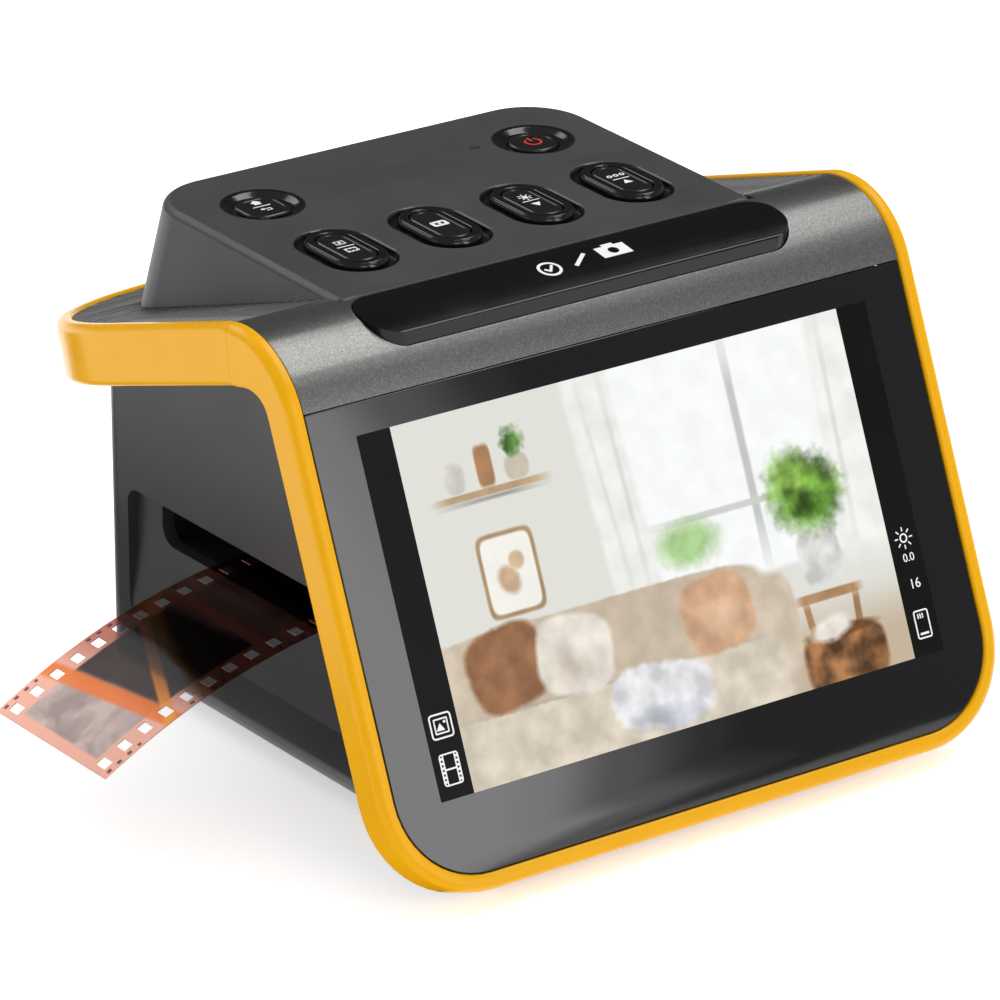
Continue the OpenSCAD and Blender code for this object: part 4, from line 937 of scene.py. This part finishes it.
for point in bar_sign.data.vertices:
    point.co.z -= point.co.y ** 2 / (2 * BAR_BULGE)
settle(bar_sign, CONSOLE @ leaning(BAR_LINE, BAR_OUT, BAR_TILT), "shutter_bar",
       finish["ink_white"])
print("bar sign:", len(bar_sign.data.polygons), "faces")

# %% [markdown]
# ## The screen
# Behind the glass the display lights up a picture, with a black strip on either side for
# small signs. The black part hides the glass's sheen, so it is a thin satin window just
# above the pane. The picture is a thin plate on it that glows by itself.

# %% Display window
LCD_W, LCD_H, LCD_LOW = 110.0, 63.8, 16.8
PICTURE_W, PICTURE_X = 96.5, 0.1
LCD_MIDDLE = LCD_LOW + LCD_H / 2
WINDOW_TOP = GLASS_TOP + 0.06


def on_screen(piece, paint, x=0, y=LCD_MIDDLE, z=0):
    """Settles a piece on the face, as a part of the glass."""
    return settle(move(piece, x, y, z), FACE, "front_glass", paint)


window = round_block("display_window", LCD_W, LCD_H, GLASS_TOP - 0.02, WINDOW_TOP, 0.2, 2)
even_shading(window)
on_screen(window, finish["window_black"])
print("window:", LCD_W, "by", LCD_H, "mm")

# %% [markdown]
# ### A picture made of soft shapes
# The picture is a bright room, and no file is read for it. It is painted in the material:
# each shape is a soft mask laid over what was painted before, from back to front. A mask
# group turns a place into a rounded box or an oval with a soft edge, and a little noise
# breaks up the edge where leaves or wool need it. The plate is laid in four tiles, so that
# no one material has to hold every shape.

# %% Mask group
def calc(tree, operation, *feeds, kind="Math", **values):
    """The result of a math node, or of a vector math node."""
    return add_node(tree, kind, *feeds, operation=operation, **values).outputs[0]


def make_mask_group():
    """Inside a superellipse 1, outside 0. Power 2 is an oval, and 8 nearly a box."""
    group, given, put_out = new_group("soft_shape", (
        ("Vector", "Vector", None), ("Middle", "Vector", None), ("Turn", "Float", 0.0),
        ("Half Size", "Vector", (1, 1, 1)), ("Power", "Float", 2.0),
        ("Softness", "Float", 0.1), ("Ragged", "Float", 0.0)), ("Mask",))

    def vector_calc(operation, *feeds, **values):
        return calc(group, operation, *feeds, kind="VectorMath", **values)

    ruffle = add_node(group, "TexNoise", given["Vector"], Scale=0.5, Detail=2.0)
    centred = vector_calc("SUBTRACT", ruffle.outputs["Color"], (0.5, 0.5, 0.5))
    shake = vector_calc("SCALE", centred, Scale=given["Ragged"])
    shaken = vector_calc("ADD", given["Vector"], shake)
    turned = add_node(group, "VectorRotate", vector_calc("SUBTRACT", shaken, given["Middle"]),
                      rotation_type="Z_AXIS", Angle=given["Turn"])
    share = vector_calc("DIVIDE", turned.outputs[0], given["Half Size"])
    split = add_node(group, "SeparateXYZ", share).outputs
    x, y = [calc(group, "POWER", calc(group, "ABSOLUTE", split[axis]), given["Power"])
            for axis in "XY"]
    root = calc(group, "DIVIDE", 1.0, given["Power"])
    inside = calc(group, "SUBTRACT", 1.0, calc(group, "POWER", calc(group, "ADD", x, y), root))
    fill(group, put_out["Mask"], calc(group, "DIVIDE", inside, given["Softness"], use_clamp=True))
    return group


mask_group = make_mask_group()
print("mask nodes:", len(mask_group.nodes))

# %% [markdown]
# The room has its own layout: a tall window with thin curtains on the right, a shelf with
# jars on the left, a plant on a stool, and a long pale sofa with cushions, a knitted
# blanket and a basket. Each row is a shape: its middle and half size in millimetres on
# the picture, the kind of edge, its turn in degrees, its colour, and how much the colour
# varies.

# %% The room, from back to front
WALL_TONE, FLOOR_TONE, FLOOR_FADE = (0.86, 0.86, 0.83), (0.74, 0.66, 0.56), (-26, -14)
PICTURE_GAMMA = 1.9
ROOM = (
    # x, y, half width, half height, power, softness, ragged, turn, colour, shade
    (22, 12, 27, 22, 12, 0.05, 0, 0, (0.97, 0.98, 0.98), 0.02),  # bright window
    (22, 12, 1.1, 22, 12, 0.5, 0, 0, (0.74, 0.75, 0.73), 0.02),  # upright bar
    (22, 3, 27, 0.8, 12, 0.5, 0, 0, (0.78, 0.79, 0.77), 0.02),  # cross bar
    (6, -1, 9, 5, 2, 0.6, 3, 0, (0.62, 0.78, 0.5), 0.1),  # garden green
    (35, 0, 12, 6, 2, 0.6, 3, 0, (0.7, 0.84, 0.58), 0.1),
    (-7, 12, 5.5, 26, 8, 0.2, 0.3, 3, (0.93, 0.93, 0.91), 0.04),  # left curtain
    (-4.2, 12, 0.8, 26, 8, 0.9, 0.3, 2, (0.84, 0.84, 0.82), 0.04),
    (-8.4, 12, 0.7, 26, 8, 0.9, 0.3, 4, (0.86, 0.86, 0.84), 0.04),
    (45, 12, 6.5, 26, 8, 0.2, 0.3, -3, (0.94, 0.94, 0.92), 0.04),  # right curtain
    (42.4, 12, 0.8, 26, 8, 0.9, 0.3, -2, (0.84, 0.84, 0.83), 0.04),
    (-31, 17, 13, 0.7, 10, 0.3, 0, 0, (0.72, 0.6, 0.45), 0.1),  # shelf
    (-31, 15.9, 13, 0.6, 10, 0.8, 0, 0, (0.62, 0.6, 0.57), 0.1),
    (-38, 20.4, 2.4, 3, 3, 0.2, 0, 0, (0.85, 0.83, 0.8), 0.12),  # jars
    (-31.5, 21.4, 1.9, 4, 5, 0.2, 0, 0, (0.62, 0.44, 0.3), 0.12),
    (-25, 20, 2.8, 2.6, 2.5, 0.2, 0, 0, (0.78, 0.74, 0.66), 0.12),
    (-25, 24.3, 3, 2.6, 2, 0.5, 3.2, 0, (0.32, 0.5, 0.2), 0.5),
    (-31, 2.5, 6.2, 7.6, 8, 0.06, 0, 0, (0.64, 0.52, 0.38), 0.1),  # framed print
    (-31, 2.5, 5.4, 6.8, 8, 0.06, 0, 0, (0.95, 0.94, 0.91), 0.02),
    (-31.6, 1.4, 2.6, 3.2, 2, 0.4, 0.6, 24, (0.75, 0.62, 0.5), 0.1),
    (-29.4, 4.4, 1.9, 1.9, 2, 0.3, 0, 0, (0.82, 0.7, 0.55), 0.1),
    (33, -9.5, 5, 5.2, 4, 0.15, 0, 4, (0.86, 0.86, 0.84), 0.15),  # pot
    (33, 2, 9.5, 8.5, 2, 0.55, 5, 0, (0.28, 0.46, 0.14), 0.55),  # leaves
    (30, 5.5, 6.5, 6, 2, 0.7, 5, 0, (0.5, 0.68, 0.28), 0.5),
    (36.5, 3, 5, 5, 2, 0.7, 5, 0, (0.42, 0.62, 0.22), 0.5),
    (33, -16.5, 8, 1, 8, 0.3, 0, 0, (0.66, 0.5, 0.34), 0.1),  # stool
    (28, -22, 0.9, 6, 8, 0.4, 0, 4, (0.6, 0.44, 0.3), 0.1),
    (38.4, -22, 0.9, 6, 8, 0.4, 0, -4, (0.6, 0.44, 0.3), 0.1),
    (-16, -15, 37, 9, 6, 0.05, 0.5, 0, (0.76, 0.69, 0.6), 0.06),  # sofa back
    (-52, -18, 8, 12, 4, 0.12, 0.5, 0, (0.8, 0.73, 0.64), 0.07),  # sofa arm
    (20, -19, 6, 9.5, 4, 0.12, 0.5, 0, (0.8, 0.73, 0.64), 0.07),
    (-16, -27, 40, 7, 6, 0.08, 0.8, 0, (0.84, 0.79, 0.71), 0.1),  # seat
    (-16, -20.4, 36, 0.5, 6, 0.9, 0.8, 0, (0.66, 0.61, 0.54), 0.1),
    (-36, -13, 8.6, 7.6, 3.4, 0.12, 0.8, 9, (0.56, 0.38, 0.26), 0.15),  # cushions
    (-22, -14, 8.4, 7.4, 3.2, 0.12, 0.8, -10, (0.9, 0.87, 0.82), 0.1),
    (-24, -16, 5.5, 4.5, 2, 0.8, 0.8, -10, (0.8, 0.75, 0.68), 0.1),
    (9, -14, 8, 7.2, 3.4, 0.12, 0.8, 7, (0.8, 0.62, 0.48), 0.12),
    (10, -15, 4.6, 4.2, 2, 0.8, 0.8, 7, (0.88, 0.72, 0.58), 0.1),
    (-6, -25, 11.5, 6, 3, 0.14, 2, -6, (0.9, 0.9, 0.91), 0.15),  # blanket
    (-6, -29, 10, 3, 2, 0.7, 2, -6, (0.74, 0.75, 0.79), 0.15),
    (34, -28, 9.5, 5.6, 4, 0.1, 0.6, 0, (0.54, 0.36, 0.22), 0.5),  # basket
    (34, -23.2, 9.2, 1.4, 2, 0.4, 0.6, 0, (0.38, 0.24, 0.14), 0.2),
    (32, -22.4, 5.6, 2.6, 2, 0.4, 1.4, 12, (0.93, 0.9, 0.86), 0.12),
)

# %% Picture finish
def room_picture(name, shapes):
    """The finish of one tile, which holds only the shapes that reach it."""
    paint = new_finish(name, (0.0, 0.0, 0.0), 0.5, Specular_IOR_Level=0.1)
    tree = paint.node_tree
    place = add_node(tree, "UVMap", uv_map="picture").outputs[0]
    climb = add_node(tree, "SeparateXYZ", place).outputs["Y"]
    depth = map_range(tree, climb, *FLOOR_FADE, interpolation_type="SMOOTHSTEP")
    painted = blend_colors(tree, depth, FLOOR_TONE, WALL_TONE)
    cloth = add_node(tree, "TexNoise", place, Scale=0.2, Detail=2.5, Roughness=0.45)
    for x, y, wide, high, power, soft, ragged, turn, color, shade in shapes:
        shape = add_node(tree, "Group", node_tree=mask_group, Vector=place, Middle=(x, y, 0),
                         Half_Size=(wide, high, 1), Power=power, Softness=soft, Ragged=ragged,
                         Turn=math.radians(-turn))
        tone = color_ramp(tree, cloth.outputs["Fac"], (0.35, [c * (1 - shade) for c in color]),
                          (0.65, [min(1, c * (1 + shade / 2)) for c in color]))
        painted = blend_colors(tree, shape.outputs["Mask"], painted, tone)
    glare = add_node(tree, "Gamma", painted, PICTURE_GAMMA)
    return feed(paint, Emission_Color=glare.outputs[0], Emission_Strength=1.0)


# %% Four tiles of the picture
TILES = 4
tile_w = PICTURE_W / TILES
for count in range(TILES):
    left = count * tile_w - PICTURE_W / 2
    tile = move(round_block("screen_picture_%d" % count, tile_w, LCD_H, WINDOW_TOP - 0.01,
                            WINDOW_TOP + 0.02, 0.02, 1), left + tile_w / 2)
    sheet = tile.data.uv_layers.new(name="picture")
    for loop in tile.data.loops:
        sheet.data[loop.index].uv = tile.data.vertices[loop.vertex_index].co.xy
    shapes = [row for row in ROOM if row[0] - row[2] - row[6] < left + tile_w
              and row[0] + row[2] + row[6] > left]
    on_screen(tile, room_picture("room_picture_%d" % count, shapes), PICTURE_X)
    print("tile", count, "shapes:", len(shapes))

# %% Small signs of the screen
LEFT_X, RIGHT_X = -51.6, 51.7
PICTURE_SIGN = [("box", 0, 0, 4.6, 4.4, {"line": 0.3, "corner": 0.7}),
                ("box", 0, 0, 2.9, 2.7, {"line": 0.26, "corner": 0.2}),
                ("tri", -0.25, -0.35, 1.7, 1.3), ("disc", 0.75, 0.6, 0.5, 0.5)]
FILM_SIGN = [("box", 0, 0, 4.0, 5.6, {"line": 0.26, "corner": 0.6}),
             ("box", -1.2, 0, 0.24, 5.4), ("box", 1.2, 0, 0.24, 5.4), ("box", 0, 0, 2.4, 0.3)] + [
    ("box", x, y, 0.5, 0.42) for x in (-1.6, 1.6) for y in (-2.0, -1.2, -0.4, 0.4, 1.2, 2.0)]
LIGHT_SIGN = [("disc", 0, 0, 1.7, 1.7, {"line": 0.28})] + rays(0, 1.6, 0.24, 0.75)
CARD_SIGN = [("box", 0, 0, 3.3, 5.2, {"line": 0.28, "corner": 0.5}),
             ("box", 0, -1.7, 1.9, 0.4)] + [("box", x, 1.5, 0.24, 0.9) for x in (-0.7, -0.2, 0.3)]
for name, marks, x, y in (("picture_sign", PICTURE_SIGN, LEFT_X, 29.4),
                          ("film_sign", FILM_SIGN, LEFT_X, 21.9),
                          ("light_sign", LIGHT_SIGN, RIGHT_X, 38.0),
                          ("card_sign", CARD_SIGN, RIGHT_X, 22.3)):
    on_screen(flat_sign(name, marks), finish["screen_white"], x, y, WINDOW_TOP)
print("screen signs: 4")

# %% Numbers of the screen
NUMBER_DEEP = 0.015
for name, text, size, x, y in (("light_number", "0.0", 2.1, RIGHT_X + 0.2, 34.4),
                               ("frame_number", "16", 2.5, RIGHT_X + 0.3, 29.6)):
    clear_selection()
    bpy.ops.object.text_add()
    word = bpy.context.object
    word.data.body = text
    word.data.size = size
    word.data.align_x = "CENTER"
    word.data.align_y = "CENTER"
    word.data.extrude = NUMBER_DEEP
    bpy.ops.object.convert(target="MESH")
    word.name = name
    on_screen(word, finish["screen_white"], x, y, WINDOW_TOP + NUMBER_DEEP + 0.001)
    print(name, len(word.data.polygons), "faces")

# %% [markdown]
# ## The film
# The strip is developed colour negative: an orange-brown base that light passes through,
# frames a little darker than the rest, small edge marks, and real perforations. Painted
# shade darkens it where it meets the slot, and painted reflections lie on it as orange
# streaks. The pattern follows the strip round its bend, so each point is given its distance
# along the film as an attribute, which the finish reads. It lets light through by
# transmission.

# %% Finish of the film
FRAME_GAP_AT, FRAME_PITCH = 151.0, 38.0


def film_paint():
    """The finish of the film, painted in layers by place along and across it."""
    paint = new_finish("film_negative", (0.7, 0.35, 0.25), 0.12, IOR=1.16,
                       Transmission_Weight=1.0)
    tree = paint.node_tree
    along, across = [add_node(tree, "Attribute", attribute_name=name).outputs["Fac"]
                     for name in ("along", "across")]

    def times(a, b):
        return calc(tree, "MULTIPLY", a, b)

    def slanted(slant):
        """The distance along, growing or shrinking with the distance across."""
        return calc(tree, "ADD", along, times(across, slant))

    def band(value, middle, half, soft):
        """One where a value lies within half a width of a middle, and 0 outside."""
        away = calc(tree, "ABSOLUTE", calc(tree, "SUBTRACT", value, middle))
        return calc(tree, "DIVIDE", calc(tree, "SUBTRACT", half, away), soft, use_clamp=True)

    from_gap = calc(tree, "SUBTRACT", along, FRAME_GAP_AT - 5 * FRAME_PITCH)
    inside = times(band(calc(tree, "MODULO", from_gap, FRAME_PITCH), FRAME_PITCH / 2,
                        FRAME_PITCH / 2 - 1, 0.5), band(across, 0, 12.0, 0.4))
    cloud = add_node(tree, "TexNoise", object_place(tree), Scale=130.0, Detail=4.0,
                     Roughness=0.55, Distortion=0.6)
    scene_tone = color_ramp(tree, cloud.outputs["Fac"], (0.38, (0.3, 0.235, 0.22)),
                            (0.62, (0.5, 0.4, 0.37)))
    wavy = slanted(-0.12)
    ticks = times(band(calc(tree, "MODULO", along, 2.4), 1.2, 0.5, 0.1),
                  band(calc(tree, "ABSOLUTE", across), 16.6, 0.42, 0.1))
    ticked = calc(tree, "GREATER_THAN", calc(tree, "MODULO", along, 19.0), 10.0)
    # painted shade on the frames where the film meets the slot
    shade = times(band(wavy, 164, 11.5, 2.0), inside)
    color = (0.74, 0.38, 0.29)
    for mask, over in (
            (inside, scene_tone),  # frames
            (times(shade, 0.93), (0.014, 0.006, 0.006)),  # painted shade from the slot on one frame
            (times(band(wavy, 176, 2.2, 0.8), 0.9), (0.72, 0.16, 0.015)),  # painted reflections: this and the next line are orange streaks
            (times(band(slanted(0.5), 166, 1.5, 0.6), 0.85), (0.8, 0.3, 0.03)),
            (times(ticks, ticked), (0.16, 0.05, 0.06))):  # edge marks
        color = blend_colors(tree, mask, color, over)
    # painted shade: the film darkens towards the body and the slot
    deep = map_range(tree, wavy, 178, 164, interpolation_type="SMOOTHSTEP")
    return feed(paint, Base_Color=blend_colors(tree, times(deep, 0.9), color, (0.42, 0.22, 0.2),
                                               blend_type="MULTIPLY"))


# %% Distance along the film
FILM_BEND_X, FILM_CURL = -30.0, math.radians(31)
film = skin("film_strip", film_paint(), angle=20, name="negative_strip", flat=0)
low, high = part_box("film_strip")
bend_x = FILM_BEND_X * MM
bend_r = (bend_x - low[0]) / math.sin(FILM_CURL)
middle_y = (low[1] + high[1]) / 2
run, side = [film.data.attributes.new(name, "FLOAT", "POINT") for name in ("along", "across")]
for index, point in enumerate(film.data.vertices):
    flat = high[0] - max(point.co.x, bend_x)
    bent = bend_r * math.asin(min(1, max(0, (bend_x - point.co.x) / bend_r)))
    run.data[index].value = (flat + bent) / MM
    side.data[index].value = (point.co.y - middle_y) / MM
film.visible_shadow = False
print("film length:", round(max(d.value for d in run.data), 1), "mm")

# %% [markdown]
# ## What stays as packed
# Boards, ports, feet, lamps and the lens lie inside, below or at the back. They could be
# skinned as the outside was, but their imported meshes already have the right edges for
# their size, so each only gets its finish.

# %% Finishes of the nodes that keep their own mesh
KEPT = {
    "inner_grey": ("display_carrier", "lcd_panel"), "rubber_black": ("status_lens", "rubber_feet"),
    "board_green": ("key_board", "sensor_board", "main_board"), "body_black": ("base_plate",),
    "steel": ("tact_switches", "base_screws", "hinge_pin", "usb_port", "hdmi_port", "card_socket"),
    "tray_satin": ("tray_channel", "camera_housing", "lens_barrel"),
    "white_plastic": ("light_box", "led_board", "diffuser"), "lens_clear": ("lens_glass",),
    "brass": ("board_posts",), "card_blue": ("memory_card",),
    "amber_film": ("display_flex", "key_flex"),
}
for name, nodes in KEPT.items():
    for node in nodes:
        mesh = frame["nodes"][node].data
        mesh.materials.clear()
        mesh.materials.append(finish[name])
print("kept nodes:", sum(len(nodes) for nodes in KEPT.values()))
